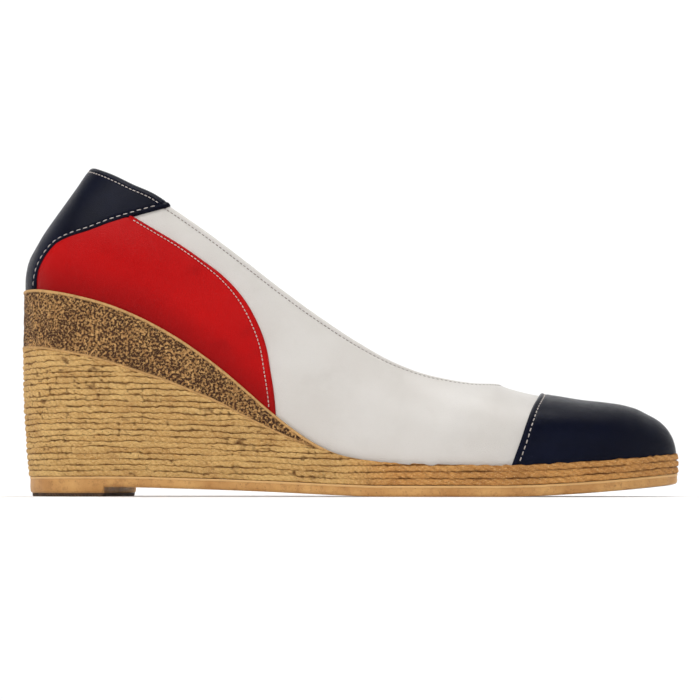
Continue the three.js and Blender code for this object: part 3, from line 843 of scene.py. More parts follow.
def topline_rise(points):
    """The turned edge's soft bead, and the dip its stitches pull."""
    gap = distance_to(points, TOPLINE_POINTS)
    bead = 0.14 * bell(gap - 0.1, 0.5) + 0.07 * bell(gap - 1.8, 0.6)
    return bead - 0.18 * bell(gap - TOPLINE_STITCH, 0.35)


def skin_halves(skin, turns, rows, crowd, height_of):
    """Both halves of a leather skin, from the feather line to the edge or crown, where they share
    points. Returns the vertex numbers of each half."""
    halves = []
    closed = (turns < BACK_TURN + 1e-9) | (turns > THROAT_TURN - 1e-9)
    share = 1 - (1 - np.linspace(0, 1, rows)) ** crowd
    for side in SIDES:
        across = side * (1 - (1 - edge_across(turns, side)[:, None]) * share)
        turn = np.broadcast_to(turns[:, None], across.shape)
        height = height_of(upper_point(turn, across))
        halves.append(skin.place(leather_points(turn, across, height)))
    halves[1][closed, -1] = halves[0][closed, -1]
    return halves


def rolled(edge, lining, towards, steps, closed=False):
    """Rings of points that roll a leather edge over to its lining, and the way the roll swells."""
    half = (edge - lining) / 2
    away = -inward(edge, unit(half), towards, closed)
    swell = away * np.linalg.norm(half, axis=1, keepdims=True)
    angles = math.pi * np.arange(1, steps + 1) / steps
    return [(edge + lining) / 2 + half * math.cos(a) + swell * math.sin(a) for a in angles], away


def build_upper():
    turns, skin = station_turns(), Skin()
    outer = skin_halves(skin, turns, OUTER_ROWS, 1.5, topline_rise)
    inner = skin_halves(skin, turns, LINING_ROWS, 1.2, lambda points: -WALL)
    for half, mirrored in ((0, False), (1, True)):
        skin.cover(outer[half], flip=not mirrored)
        skin.cover(inner[half], LINING_SLOT, flip=mirrored)
        skin.cover([outer[half][:, 0], inner[half][:, 0]], LINING_SLOT, flip=mirrored)
    for end, flip in ((0, False), (-1, True)):
        skin.cover([outer[0][end], outer[1][end]], flip=flip)
        skin.cover([inner[0][end], inner[1][end]], LINING_SLOT, flip=not flip)

    first, last = BACK_STATIONS - 1, BACK_STATIONS + OPEN_STATIONS - 2

    def loop(halves, row):
        return np.concatenate([halves[0][first : last + 1, row], halves[1][last - 1 : first : -1, row]])

    lines = [skin.spots(loop(halves, row)) for halves, row in ((outer, -1), (inner, -1), (outer, -3))]
    rings = rolled(*lines, ROLL_STEPS, closed=True)[0]
    skin.cover([loop(outer, -1), *map(skin.place, rings[:-1]), loop(inner, -1)], closed=True)
    skin.piece("upper_leather", (CREAM, LINING), "cream_leather", "upper")


# Leather overlays

SKIRT_DEPTH = 0.5
RIM_TUCK = -0.9  # panels run down to this height from the rim
COUNTER_STITCH = 1.5
CAP_STITCH = 2.0


def at_height(turn, side, above):
    """The points where the form stands at a height above the rim."""
    share = halve(lambda share: above_rim(upper_point(turn, side * share)) > above, steps=36)
    return upper_point(turn, side * share)


def coons(left, right, bottom, top, u, v, fine=400):
    """A grid of points between four lines, rows along v. left and right run bottom to top."""
    steps = np.linspace(0, 1, fine)

    def at(line, share):
        return np.stack([np.interp(share, steps, column) for column in resample(line, fine).T], -1)

    left_v, right_v = at(left, v)[:, None, :], at(right, v)[:, None, :]
    bottom_u, top_u = at(bottom, u), at(top, u)
    u, v = u[None, :, None], v[:, None, None]
    corners = (1 - v) * ((1 - u) * left[0] + u * right[0]) + v * ((1 - u) * left[-1] + u * right[-1])
    return (1 - u) * left_v + u * right_v + (1 - v) * bottom_u + v * top_u - corners


def folded_edge(gap, proud, bead, groove, stitch):
    """The height of a turned-over leather edge at a distance from it."""
    rise = proud * np.sqrt(1 - (1 - np.clip(gap / 0.8, 0, 1)) ** 2)
    return rise + bead * bell(gap - 0.5 * stitch, 0.3 * stitch) - groove * bell(gap - stitch, 0.42)


def perimeter(numbers):
    """The vertex numbers round a grid, in order."""
    return np.concatenate([numbers[0, :-1], numbers[:-1, -1], numbers[-1, :0:-1], numbers[:0:-1, 0]])


def lay_panel(turn, across, height, flip=False):
    """A panel's outside with its edge turned down into the leather below, and its vertex numbers."""
    skin = Skin()
    numbers = skin.place(leather_points(turn, across, height))
    rim = perimeter(numbers)
    base = leather_points(turn.ravel()[rim], across.ravel()[rim], -SKIRT_DEPTH)
    skin.cover(numbers, flip=flip)
    skin.cover([rim, skin.place(base)], flip=not flip, closed=True)
    return skin, numbers


def trimmed_edge(rows, side, top_gap=None):
    """A panel edge on the form from just under the rim up, ending at the topline if a gap is given."""
    line = spline(rows)
    line = line[line[:, 1] > rim_z(line[:, 0]) + RIM_TUCK]
    if top_gap is not None:
        line = line[line[:, 1] < topline_z(line[:, 0]) - top_gap]
    return side_points(line[np.argsort(line[:, 1])], side)


COUNTER_LINES = {side: trimmed_edge(COUNTER_EDGE, side, EDGE_ROUND) for side in SIDES}
QUARTER_LINES = {side: trimmed_edge(QUARTER_EDGE, side) for side in SIDES}


def quarter_stitch(x):
    """How far the stitches run from the quarter's front edge, wider towards the rim."""
    return 1.2 + 1.0 * smooth(x, 70, 100)


def bottom_line(start, end, start_turn, side):
    """A panel's lower edge between two of its corners."""
    line = at_height(np.linspace(start_turn, lift(end)[0], 160), side, RIM_TUCK)
    return np.concatenate([[start], line[1:-1], [end]])


def build_quarter(side, name):
    """A red quarter, from under the counter's edge forward to its own folded front edge."""
    front, counter = QUARTER_LINES[side], COUNTER_LINES[side]
    keep = counter[:, 0] < front[-1, 0] - 4
    rear = on_form(counter[keep] + np.array([-1.6, 0, 1.2]))[0]
    bottom = bottom_line(rear[0], front[0], lift(rear[0])[0], side)
    top = np.linspace(rear[-1], front[-1], 20)
    u = 1 - (1 - np.linspace(0, 1, 110)) ** 1.9
    turn, across = lift(coons(rear, front, bottom, top, u, np.linspace(0, 1, 110)))
    spots = upper_point(turn, across)
    gap = distance_to(spots, resample(front, 500))
    height = folded_edge(gap, QUARTER_PROUD, 0.3, 0.26, quarter_stitch(spots[..., 0]))
    edge_z = np.interp(spots[..., 0], counter[:, 0], counter[:, 2])
    height = height * (1 - 0.65 * smooth(spots[..., 2] - edge_z, 0.3, 1.3))
    skin = lay_panel(turn, across, height, flip=side > 0)[0]
    # Painted shade: the red goes darker over the lowest 16 mm above the rim
    skin.facts["shade"] = [1 - smooth(above_rim(np.concatenate(skin.points)), 0, 16)]
    skin.piece(name + "_leather", (RED,), "red_leather", name)


def build_counter():
    """The navy counter: two halves that meet down the back, rolled over the topline."""
    u = 1 - (1 - np.linspace(0, 1, 74)) ** 1.9
    v = 1 - (1 - np.linspace(0, 1, 96)) ** 1.5
    back = upper_point(np.linspace(TIP_TURN, BACK_TURN, 300), np.zeros(300))
    halves = []
    for side in SIDES:
        edge = COUNTER_LINES[side]
        wing_turn = lift(edge[-1])[0]
        turn = BACK_TURN + (wing_turn - BACK_TURN) * np.linspace(0, 1, 200) ** 2
        top = upper_point(turn, side * edge_across(turn, side))
        top = np.concatenate([back[-1:], top[1:-1], edge[-1:]])
        bottom = bottom_line(back[0], edge[0], TIP_TURN, side)
        turn, across = lift(coons(back, edge, bottom, top, u, v))
        across = side * np.abs(across)
        across[:, 0] = 0
        halves.append((turn, across))
    turn, across = (np.concatenate([a[:, :0:-1], b], 1) for a, b in zip(*halves))
    spots = upper_point(turn, across)
    edges = np.concatenate([resample(COUNTER_LINES[side], 400) for side in SIDES])
    gap, top_gap = distance_to(spots, edges), distance_to(spots, TOPLINE_POINTS)
    height = folded_edge(gap, COUNTER_PROUD, 0.14, 0.22, COUNTER_STITCH)
    height = height - 0.2 * bell(top_gap - TOPLINE_STITCH, 0.45) * smooth(gap, 0.5, 2)
    skin, numbers = lay_panel(turn, across, height)
    edge, below = skin.spots(numbers[-1]), skin.spots(numbers[-4])
    lining = leather_points(turn[-1], across[-1], -WALL - 0.12)
    rings, away = rolled(edge, lining, below, 8)
    rings.append(leather_points(turn[-1], across[-1], -WALL - 0.3) - away * 1.2)
    skin.cover([numbers[-1], *map(skin.place, rings)])
    skin.piece("counter_leather", (NAVY,), "navy_leather", "heel_counter")


def cap_edge_turn(across):
    """The turn at which each line along the foot crosses the toe cap's rear edge."""
    line = spline(TOE_CAP_EDGE)
    line = line[np.argsort(line[:, 1])]

    def behind(turn):
        point = upper_point(turn, across)
        return point[..., 0] < np.interp(point[..., 2], line[:, 1], line[:, 0])

    return halve(behind, 1.6, 2.9)


CAP_ACROSS = np.linspace(-0.995, 0.995, 150)
CAP_START = cap_edge_turn(CAP_ACROSS)
CAP_LINE = upper_point(CAP_START, CAP_ACROSS)


def build_toe_cap():
    """The navy toe cap, folded along its rear edge."""
    share = np.linspace(0, 1, 130)[:, None] ** 1.7
    turn = CAP_START + (math.pi - TIP_TURN - CAP_START) * share
    across = np.broadcast_to(CAP_ACROSS, turn.shape)
    gap = distance_to(upper_point(turn, across), resample(CAP_LINE, 600))
    height = folded_edge(gap, CAP_PROUD, 0.16, 0.22, CAP_STITCH)
    skin, numbers = lay_panel(turn, across, height)
    lateral, medial = numbers[-1], numbers[-1][::-1]
    middle = len(lateral) // 2
    skin.cover([lateral[:middle], medial[:middle]], flip=True)
    skin.piece("toe_cap_leather", (NAVY,), "navy_leather", "toe_cap")


# Stitches

STITCH_SIDES = 7
STITCH_FORM = (
    # place along the stitch, share of its full radius, how far its spine dips in millimetres
    (-0.5, 0.15, 0.22), (-0.47, 0.62, 0.198), (-0.36, 0.94, 0.11), (0.0, 1.0, 0.0),
    (0.36, 0.94, 0.11), (0.47, 0.62, 0.198), (0.5, 0.15, 0.22),
)
THREAD_RADIUS = 0.2
# From the start of one stitch to the next, and the length of a stitch
TOPLINE_SEAM = 1.62, 1.25
QUARTER_SEAM = 1.5, 1.12
COUNTER_SEAM = 2.5, 1.75
CAP_SEAM = 2.1, 1.5


def parallel_line(line, distance, towards, closed=False):
    """A line on the form at a distance from an edge, on the side of a place."""
    placed, normals = on_form(line)
    moved = placed + inward(placed, normals, towards, closed) * distance
    return on_form(moved)[0]


def sew(skin, line, seam, height, seed):
    """Adds a row of rounded stitches along a line on the form."""
    pitch, length = seam
    count = int(run_length(*line.T)[-1] / pitch)
    centres = resample(line, count * 2 + 1)
    ends = centres[::2]
    spots, normals = on_form(centres[1::2])
    spots = spots + normals * (fold_rise(spots) + height)[:, None]
    run = unit(ends[1:] - ends[:-1])
    run = unit(run - normals * (run * normals).sum(1, keepdims=True))
    turned = np.random.default_rng(seed).normal(0, 0.05, (count, 1))
    run = unit(run + np.cross(normals, run) * turned)
    side = np.cross(normals, run)
    place, swell, dip = np.array(STITCH_FORM).T[..., None]
    angle = (np.arange(STITCH_SIDES) * 2 * math.pi / STITCH_SIDES)[:, None]
    around = side[:, None, :] * np.cos(angle) + normals[:, None, :] * np.sin(angle)
    spine = spots[:, None, :] + run[:, None, :] * place * length - normals[:, None, :] * dip
    points = spine[:, :, None, :] + around[:, None, :, :] * swell[..., None] * THREAD_RADIUS
    for stitch in skin.place(points):
        skin.cover(stitch, closed=True)
        skin.add_faces([stitch[0][::-1].tolist(), stitch[-1].tolist()])


def build_stitches():
    """Grey thread on the cream topline, pale thread on the navy and red pieces."""
    edge = parallel_line(TOPLINE_POINTS, TOPLINE_STITCH, TOPLINE_POINTS - [0, 0, 12.0], closed=True)
    past_wing = edge[:, 0] > min(COUNTER_LINES[side][-1, 0] for side in SIDES) - 2.5
    start, end = int(np.argmax(past_wing)), len(edge) - int(np.argmax(past_wing[::-1]))
    grey, pale = Skin(), Skin()
    sew(grey, edge[start + 2 : end - 2], TOPLINE_SEAM, -0.1, 3)
    grey.piece("topline_stitches", (GREY_THREAD,), "cream_leather")
    sew(pale, np.concatenate([edge[end:], edge[:start]]), TOPLINE_SEAM, COUNTER_PROUD - 0.12, 4)
    for side in SIDES:
        front, counter = QUARTER_LINES[side], COUNTER_LINES[side]
        line = parallel_line(front, quarter_stitch(front[:, :1]), front + [-14.0, 0, -6.0])
        line = line[(above_rim(line) > 0.6) & (line[:, 0] > 46)]
        line = line[distance_to(line, resample(counter, 400)) > 0.9]
        sew(pale, line, QUARTER_SEAM, QUARTER_PROUD - 0.12, 5 + side)
        line = parallel_line(counter, COUNTER_STITCH, counter + [-8.0, 0, 12.0])
        line = line[(above_rim(line) > 1) & (line[:, 2] < topline_z(line[:, 0]) - 3)]
        sew(pale, line, COUNTER_SEAM, COUNTER_PROUD - 0.1, 8 + side)
    line = parallel_line(CAP_LINE, CAP_STITCH, CAP_LINE + [12.0, 0, 0])
    line = line[above_rim(line) > 0.6]
    sew(pale, line, CAP_SEAM, CAP_PROUD - 0.1, 12)
    pale.piece("panel_stitches", (PALE_THREAD,), "navy_leather")


# The rope wedge

COLUMN_STEP = 0.62
LEDGE_DROP = -RIM_LIP - 0.2  # from the rim to the hidden ledge under the seat
COURSE_ROWS = 8
HEEL_PITCH_SHARE = 0.88  # the courses lie closer together at the heel
FOREFOOT_START, FOREFOOT_END = 118, 146  # where the courses change from the heel's to the toe's


def loop_turns(start=0.0, end=2 * math.pi, step=COLUMN_STEP):
    """Turns at even steps along the outline between two turns, and the length up to each."""
    fine = np.linspace(start, end, 4000)
    length = run_length(*outline_point(fine))
    wanted = np.linspace(0, length[-1], int(length[-1] / step) + 1)
    return np.interp(wanted, length, fine), wanted


def ring_at(turns, inset, z):
    """Points round the outline, drawn in by an inset, at a height."""
    return np.stack(np.broadcast_arrays(*inset_point(turns, inset), z), -1)


def flow_at(flow, z):
    """The place along the courses, for the materials."""
    return np.stack(np.broadcast_arrays(flow, z, 0.0), -1)


def rope_top(x):
    return np.where(x < CORK_END * SOLE_LENGTH, np.minimum(cork_z(x), rim_z(x)), rim_z(x))


def rope_profile(phase):
    """How deep a course's face lies, from its outermost line (0) to the crevice (1)."""
    return 1 - np.sqrt(np.clip(1 - np.abs(2 * phase - 1) ** 2.4, 0, 1))


def strand_nicks(flow, height, forefoot):
    """Short chips and pits where fibres have broken away, in loose groups."""
    groups = smooth(noise(flow / 14, height / 7, 61), -0.1, 0.6)
    chips = smooth(noise(flow / 1.5, height / 1.0, 62), 0.42, 0.8)
    splits = smooth(noise(flow / 0.9, height / 3.2, 63), 0.62, 0.95)
    return (chips * (0.35 + 0.65 * groups) + 0.6 * splits) * (1 - 0.5 * forefoot)


def build_rope():
    """Courses of rope as one displaced face, then its turned-in top and bottom."""
    turns, flow = (values[:-1] for values in loop_turns())
    x = outline_point(turns)[0]
    ragged = smooth(x, 128, 150) * 0.3 * noise(flow / 1.7, flow * 0, 29)
    bottom, top = seam_z(x), rope_top(x) + ragged
    courses = int(math.ceil((top - bottom).max() / (ROPE_PITCH * HEEL_PITCH_SHARE)))
    rows = courses * COURSE_ROWS + 1
    height = np.linspace(0, courses * ROPE_PITCH, rows)
    turn, along = turns[:, None], flow[:, None]
    forefoot = smooth(x[:, None], FOREFOOT_START, FOREFOOT_END)

    wave = 0.36 * noise(along / 13, height / 3.1, 21) + 0.2 * noise(along / 4.1, height / 2.0, 22)
    wave = (wave + 0.26 * noise(along / 1.3, height / 1.3, 28)) * np.clip(height / 2, 0, 1)
    packing = HEEL_PITCH_SHARE + (1 - HEEL_PITCH_SHARE) * forefoot
    true_height = height * packing + wave * (1 - 0.55 * forefoot)
    limit = (top - bottom)[:, None]
    shown = np.minimum(true_height, limit)

    phase = (height / ROPE_PITCH) % 1.0
    course = np.minimum(height // ROPE_PITCH, courses - 1)
    hollow = rope_profile(phase)
    uneven = 0.5 + 0.5 * noise(along / 5.5, height / 1.2, 23)
    nicks = strand_nicks(along, height, forefoot)
    lay = along / (2.3 + 1.9 * forefoot) + phase * (0.9 + 0.2 * forefoot) + 0.37 * course
    twist = 0.5 + 0.5 * np.sin(2 * math.pi * (lay + 0.4 * noise(along / 6, height / 3, 30)))
    depth = (0.35 + 0.7 * uneven) * hollow + nicks * 0.4 + 0.14
    depth = depth + twist * (0.17 + 0.13 * forefoot) * (1 - hollow * 0.5)
    depth = depth + 0.2 * noise(along / 1.5, height / 0.8, 24)
    depth = depth + 0.2 * np.clip(noise(along / 9, height / 5, 25) - 0.3, 0, 1)
    # tone: random strand tone, plus painted shade deeper in the twist troughs
    tone = 0.5 + 0.5 * noise(along / 16 + course * 7.3, course * 3.7, 26)
    tone = tone * 0.5 + 0.3 * (0.5 + 0.5 * noise(along / 1.8, height / 0.7, 27)) + 0.25 * twist
    # Painted shade for 'hollow': darker in the crevices, the nicks and the twist troughs
    dark = hollow * (0.35 + 0.8 * uneven) + nicks * 0.6 + (0.12 + 0.1 * forefoot) * twist**2

    skin = Skin()
    face = ring_at(turn, taper_inset(x[:, None], shown) + depth, bottom[:, None] + shown)
    facts = {"hollow": np.clip(dark, 0, 1), "tone": tone, "warm": forefoot}
    numbers = skin.place(face, flow=flow_at(along, shown), **facts)
    live = true_height[:, :-1] < limit
    live = live | np.roll(live, -1, 0)
    skin.cover(np.concatenate([numbers, numbers[:1]]), flip=True, keep=live)

    def turned_in(inset, z):
        ring = ring_at(turns, inset, z)
        warm = smooth(ring[:, 0], FOREFOOT_START, FOREFOOT_END)
        return skin.place(ring, flow=flow_at(flow, z), hollow=0.15, tone=0.4, warm=warm)

    tuck = UPPER_INSET - SEAT_GAP + 0.2
    last_live = numbers[np.arange(len(turns)), np.minimum(rows - 1, live.sum(1))]
    tops = ((0.9, 0), (1.7, 0), (tuck, LEDGE_DROP), (9, LEDGE_DROP))
    rings = [turned_in(inset, top + drop) for inset, drop in tops]
    skin.cover([last_live, *rings], closed=True)
    rings = [turned_in(taper_inset(x, 0) + inset, bottom + 0.02) for inset in (2.5, 9.0)]
    skin.cover([numbers[:, 0], *rings], flip=True, closed=True)
    skin.piece("rope_courses", (ROPE,), "rope", "rope_wedge")


# The cork layer

CORK_ROWS = 40


def edge_rounding(gap):
    return 0.35 * (1 - np.sqrt(1 - (1 - np.clip(gap / 0.5, 0, 1)) ** 2))


def build_cork():
    """The cork band, with a smooth lip along both edges, turned in above and below."""
    lateral, flow = loop_turns(0, math.acos(1 - 2 * CORK_END), 0.6)
    turns = np.concatenate([2 * math.pi - lateral[:0:-1], lateral])
    flow = np.concatenate([-flow[:0:-1], flow])[:, None]
    x = outline_point(turns)[0]
    low, high = cork_z(x)[:, None] - 0.15, rim_z(x)[:, None]
    z = low + (high - low) * eased(CORK_ROWS)
    above, below = high - z, z - low
    low_lip = smooth(1.0 - below, 0, 0.3) * smooth(high - low, 0.5, 5)
    lip = np.maximum(smooth(1.25 - above, 0, 0.3), low_lip)
    rough = 0.1 * noise(flow / 1.3, z / 1.2, 31) + 0.1 * noise(flow / 4, z / 3, 32)
    pits = 0.35 * smooth(noise(flow / 1.1, z / 0.9, 33), 0.35, 0.6)
    depth = (rough + pits + 0.28) * (1 - lip) - 0.06 * lip + edge_rounding(above) + edge_rounding(below)
    face = ring_at(turns[:, None], taper_inset(x[:, None], z - seam_z(x)[:, None]) + depth, z)
    tops = ((1.0, 0.0), (1.72, -0.04), (1.82, LEDGE_DROP), (9.0, LEDGE_DROP))
    over = [ring_at(turns, inset, high[:, 0] + drop) for inset, drop in tops]
    under = [ring_at(turns, inset, low[:, 0]) for inset in (9.0, 2.0)]
    points = np.concatenate([np.stack(under, 1), face, np.stack(over, 1)], 1)
    lips = np.concatenate([np.zeros((len(x), len(under))), lip, np.ones((len(x), len(over)))], 1)
    skin = Skin()
    skin.cover(skin.place(points, lip=lips, flow=flow_at(flow, points[..., 2])))
    skin.piece("cork_band", (CORK_LOOK,), "cork", "cork_layer")


# The outsole, heel lift and top piece

BAND = (
    # height up the edge at full thickness, how far it stands in
    (0.0, 1.15), (0.12, 0.7), (0.4, 0.34), (0.8, 0.1), (1.3, 0.0), (2.0, 0.02), (2.7, 0.0),
    (3.0, 0.05), (3.15, -0.12), (3.35, -0.2), (3.6, -0.2), (3.78, -0.1), (3.88, 0.06),
)
BAND_TOP = BAND[-1][0]
BAND_LIP = 3.1  # the lip's rows lie above this height
SCALE_WIDTH, SCALE_LENGTH = 28.0, 22.0
SCALE_BULGE = 0.72 * SCALE_LENGTH
SCALE_ORIGIN = 130
GROOVE_WIDTH, GROOVE_DEPTH = 0.62, 0.8
TREAD_START = 0.5 * SOLE_LENGTH


def scale_groove(x, y):
    """Share of the full groove depth at each place of the sole's bottom: rows of arcs, like fish
    scales, with each row set over by half a scale, and small crosses where they meet."""
    groove = np.zeros_like(x)
    for step in range(-2, 3):
        row = np.round((x - SCALE_ORIGIN) / SCALE_LENGTH) + step
        shift = np.where(row % 2 == 0, 0, SCALE_WIDTH / 2)
        centre_y = np.round((y - shift) / SCALE_WIDTH) * SCALE_WIDTH + shift
        centre_x = SCALE_ORIGIN + row * SCALE_LENGTH
        side = (y - centre_y) / (SCALE_WIDTH / 2)
        arc_x = centre_x + SCALE_BULGE * np.sqrt(np.clip(1 - side**2, 0, 1))
        steep = np.hypot(1, SCALE_BULGE * side / np.sqrt(np.clip(1 - side**2, 0.05, 1)) / 14)
        groove = np.maximum(groove, bell((x - arc_x) / steep, GROOVE_WIDTH))
        cross_x, cross_y = x - centre_x + 1.5, y - centre_y - SCALE_WIDTH / 2
        cross_y = cross_y - np.round(cross_y / SCALE_WIDTH) * SCALE_WIDTH
        near = smooth(3.2 - np.hypot(cross_x, cross_y), 0, 0.6)
        for way in (-1, 1):
            groove = np.maximum(groove, bell((cross_x + way * cross_y) / 1.41, 0.4) * near)
    return groove


def build_outsole_edge():
    """The outsole's rounded edge with its lip, which runs down over the lift at the heel."""
    breast = math.acos(1 - 2 * HEEL_LIFT_LENGTH / SOLE_LENGTH)
    corners = [breast - 0.0006, breast, 2 * math.pi - breast, 2 * math.pi - breast + 0.0006]
    turns = np.sort(np.concatenate([loop_turns(step=0.8)[0][:-1], corners]))
    x = outline_point(turns)[0]
    edge = taper_inset(x, 0) + OUTSOLE_INSET
    heel_drop = np.where(x < HEEL_LIFT_LENGTH - 0.01, WAIST_LIFT - TOP_PIECE_THICKNESS - 0.02, 0)
    skin, rings = Skin(), []
    for up, inset in BAND:
        wobble = 0.05 * noise(turns * 30, np.full_like(turns, up * 2), 41)
        z = underside_z(x) + up * (OUTSOLE_THICKNESS - 0.02) / BAND_TOP
        z = z - heel_drop * (1 - np.clip(up / 2.7, 0, 1))
        rings.append(skin.place(ring_at(turns, edge + inset + wobble, z), lip=float(up > BAND_LIP)))
    rings.append(skin.place(ring_at(turns, edge + 3.0, seam_z(x) - 0.04), lip=0.0))
    skin.cover(rings, closed=True)
    skin.piece("outsole_edge", (RUBBER,), "tan_rubber", "outsole")


def across_sole(turn, inset, share):
    """A grid from the lateral side to the medial: x, y, and the gap to the nearer side."""
    lateral = np.stack(inset_point(turn, inset), -1)[:, None, :]
    medial = np.stack(inset_point(2 * math.pi - turn, inset), -1)[:, None, :]
    share = share[None, :, None]
    x, y = np.moveaxis(lateral * (1 - share) + medial * share, -1, 0)
    middle, half = (medial + lateral)[..., 1] / 2, (medial - lateral)[..., 1] / 2
    return x, y, half - np.abs(y - middle)


def build_bottom():
    """The sole's underside as one net from edge to edge, with the tread cut up into it."""
    turn = np.linspace(NET_END, math.pi - NET_END, 430)
    inset = taper_inset((1 - np.cos(turn)) / 2 * SOLE_LENGTH, 0) + OUTSOLE_INSET + BAND[0][1]
    x, y, edge_gap = across_sole(turn, inset, np.linspace(0, 1, 150))
    inside = smooth(edge_gap, 2.6, 3.4) * smooth(x, TREAD_START + 3, TREAD_START + 4)
    inside = inside * smooth(SOLE_LENGTH - 7 - x, 0, 1)
    front = bell(x - (TREAD_START - 7 + 7 * (y / 24) ** 2), 0.6) * smooth(edge_gap, 1, 2)
    border = bell(edge_gap - 2.4, 0.45) * smooth(x, 122, 126) * smooth(SOLE_LENGTH - 4 - x, 0, 2)
    groove = np.maximum(np.maximum(scale_groove(x, y) * inside, front), border)
    z = underside_z(x) + 0.02 * noise(x / 6, y / 6, 42) ** 2 + GROOVE_DEPTH * groove
    skin = Skin()
    skin.cover(skin.place(np.stack([x, y, z], -1), groove=groove))
    skin.piece("outsole_bottom", (BOTTOM,), "tan_rubber")


def heel_loop(inset, length, z, count=260):
    """A closed loop round the heel lift: the outline behind the breast, then the breast itself."""
    fine = np.linspace(-1.2, 1.2, 3000)
    turn = np.where(fine < 0, 2 * math.pi + fine, fine)
    x = outline_point(turn)[0]
    arc = ring_at(turn, taper_inset(x, 0) + OUTSOLE_INSET + inset, z)
    arc = arc[arc[:, 0] < length]
    breast_y = np.linspace(arc[-1, 1], arc[0, 1], 40)
    bow = 1.2 * (1 - ((breast_y - breast_y.mean()) / (np.ptp(breast_y) / 2)) ** 2)
    breast = np.stack([length - bow, breast_y, np.full(40, z)], -1)
    return resample(np.concatenate([arc, breast[1:], arc[:1]]), count)[:-1]


def build_heel_lift():
    """The lift's front and its turned edge, just inside the outsole's edge."""
    base = TOP_PIECE_THICKNESS + 0.02
    top = WAIST_LIFT + 0.35 - TOP_PIECE_THICKNESS
    rings = [heel_loop(5.0, HEEL_LIFT_LENGTH - 4, base)]
    for up, inset in ((0, 1.2), (0.12, 0.75), (0.4, 0.4), (0.9, 0.15), (top, 0.12)):
        rings.append(heel_loop(inset, HEEL_LIFT_LENGTH - inset * 0.5, base + up))
    skin = Skin()
    skin.cover(skin.place(np.stack(rings)), closed=True)
    skin.piece("heel_lift", (RUBBER,), "tan_rubber")


RIB_PITCH = 1.3
RIB_DEPTH = 0.45


def build_top_piece():
    """The ribbed rubber under the heel, its ribs running across the foot."""
    length = HEEL_LIFT_LENGTH - 0.3
    base = heel_loop(0.85, length, 0.0, 520)
    middle = np.array([HEEL_LIFT_LENGTH * 0.52, base[:, 1].mean(), 0])
    rib = 0.5 + 0.5 * np.sign(np.sin(2 * math.pi * base[:, 0] / RIB_PITCH))
    rib = np.where(base[:, 0] > length - 1.6, 0.2, rib)[:, None] * RIB_DEPTH
    ribbed = ((1.0, 0.75), (0.995, 0.25), (0.985, 0.0))
    rings = [base + [0, 0, TOP_PIECE_THICKNESS]]
    for share, height in ribbed:
        ring = middle + (base - middle) * share - unit(base - middle) * rib
        rings.append(ring + [0, 0, height])
    rings += [middle + (base - middle) * share for share in (0.9, 0.75, 0.5, 0.25, 0.02)]
    skin = Skin()
    numbers = skin.place(np.stack(rings))
    skin.cover(numbers, flip=True, closed=True)
    skin.add_faces([numbers[-1][::-1].tolist()])
    skin.piece("heel_top_piece_ribbed", (HEEL_RUBBER,), "dark_rubber", "heel_top_piece")


# The insole

SOCK_SIDE_GAP = 0.12
SOCK_ROLL, SOCK_ROLL_DROP = 1.6, 1.1


def build_insole():
    """The leather sock, its edge rolled down against the lining."""
    turn = np.linspace(0.02, math.pi - 0.02, 320)
    x, y, gap = across_sole(turn, UPPER_INSET + WALL + SOCK_SIDE_GAP, eased(60))
    gap = np.minimum(np.maximum(gap, 0), np.minimum(x - x.min(), x.max() - x))
    roll = np.sqrt(np.clip(1 - (1 - np.clip(gap / SOCK_ROLL, 0, 1)) ** 2, 0, 1))
    pad = 0.5 * bell(x - 34, 26) * (1 - bell(gap, 7)) + 0.12 * noise(x / 18, y / 14, 51)
    z = seat_z(x) + SEAT_GAP + INSOLE_THICKNESS - SOCK_ROLL_DROP * (1 - roll) + pad
    skin = Skin()
    numbers = skin.place(np.stack([x, y, z], -1))
    rim = perimeter(numbers)
    base = skin.spots(rim)
    base[:, 2] = seat_z(base[:, 0]) + SEAT_GAP
    skin.cover(numbers, flip=True)
    skin.cover([rim, skin.place(base)], closed=True)
    skin.piece("sock", (SOCK,), "insole_leather", "insole")


# Set, lights and camera


def build_set():
    """A plain pale floor that curves up all round into a backdrop."""
    s = Shader("studio paper")
    colour = s.cloud(tint(247, 247, 247), tint(244, 244, 244), (3, 2), 0.4, 0.6)
    paper = s.finish(colour, 0.9, Emission_Color=(1, 1, 1, 1), Emission_Strength=0.07)
    bend, reach, top, sides = 0.9, 2.0, 2.6, 96
    curve = np.linspace(0, math.pi / 2, 20)
    profile = [(0.05, 0.0), (0.5, 0.0)]
    profile += [(reach - bend + bend * math.sin(a), bend - bend * math.cos(a)) for a in curve]
    profile.append((reach, top))
    around = np.arange(sides) * 2 * math.pi / sides
    points = [(r * math.cos(a), r * math.sin(a), z) for r, z in profile for a in around]
    faces = quads(np.arange(len(points)).reshape(-1, sides), flip=True, closed=True).tolist()
    make_object("studio_bowl", points, faces + [list(range(sides))], (paper,))


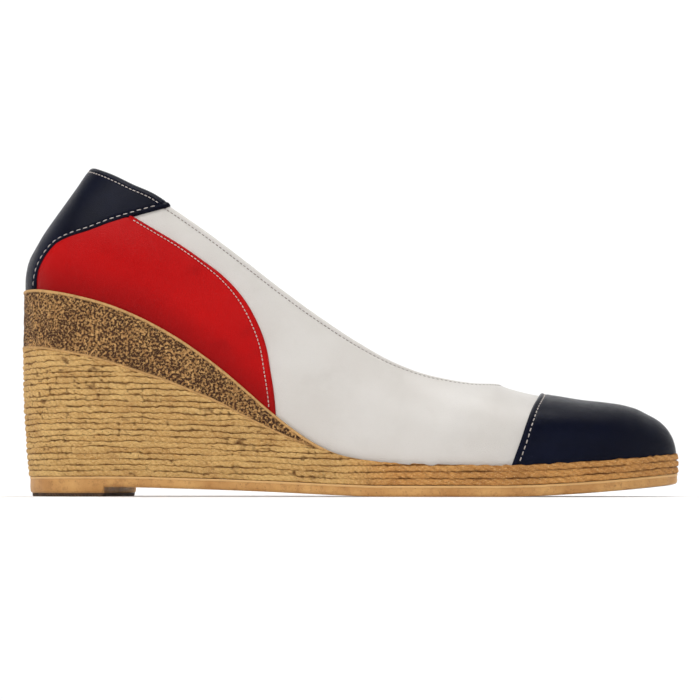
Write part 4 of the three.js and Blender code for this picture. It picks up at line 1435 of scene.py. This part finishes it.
LIGHTS = (
    # name, place in metres, where it points, width, power in watts
    ("key", (-0.45, -0.85, 1.1), (0, 0, 0.05), 0.7, 8.6),
    ("front fill", (0.6, -1.2, 0.35), (0, 0, 0.05), 1.0, 0.9),
    ("top", (0.15, 0.15, 1.35), (0, 0, 0.05), 0.8, 3.9),
    ("backdrop", (0.0, 0.5, 1.7), (0, 1.9, 0.6), 1.4, 17.0),
)
SKY = 0.06  # strength of the soft white light from all round


def add_object(name, data, place, aim):
    """A light or camera that points at a place."""
    made = bpy.data.objects.new(name, data)
    made.location = place
    made.rotation_euler = (Vector(aim) - Vector(place)).to_track_quat("-Z", "Y").to_euler()
    bpy.context.scene.collection.objects.link(made)
    return made


def build_lights():
    for name, place, aim, width, power in LIGHTS:
        lamp = bpy.data.lights.new(name, "AREA")
        lamp.shape, lamp.size, lamp.energy = "DISK", width, power
        add_object(name, lamp, place, aim)
    world = bpy.data.worlds.new("soft white")
    world.use_nodes = True
    background = world.node_tree.nodes["Background"]
    background.inputs["Color"].default_value = (1, 1, 1, 1)
    background.inputs["Strength"].default_value = SKY
    bpy.context.scene.world = world
    bpy.context.scene.view_settings.view_transform = "Standard"


CAMERA_DISTANCE = 560 * MM
CAMERA_HEIGHT = 3 * MM
CAMERA_YAW = math.radians(6)
TARGET = Vector((2.3 * MM, 0, 54.8 * MM))
LENS = 76.86


def build_camera():
    data = bpy.data.cameras.new("photo camera")
    data.lens, data.sensor_width, data.clip_start = LENS, 36, 0.01
    side, back = CAMERA_DISTANCE * math.sin(CAMERA_YAW), CAMERA_DISTANCE * math.cos(CAMERA_YAW)
    place = (TARGET.x + side, -back, CAMERA_HEIGHT)
    bpy.context.scene.camera = add_object("photo camera", data, place, TARGET)


build_upper()
build_quarter(-1, "quarter_lateral")
build_quarter(1, "quarter_medial")
build_counter()
build_toe_cap()
build_stitches()
build_rope()
build_cork()
build_outsole_edge()
build_bottom()
build_heel_lift()
build_top_piece()
build_insole()
build_set()
build_lights()
build_camera()

bpy.context.view_layer.update()
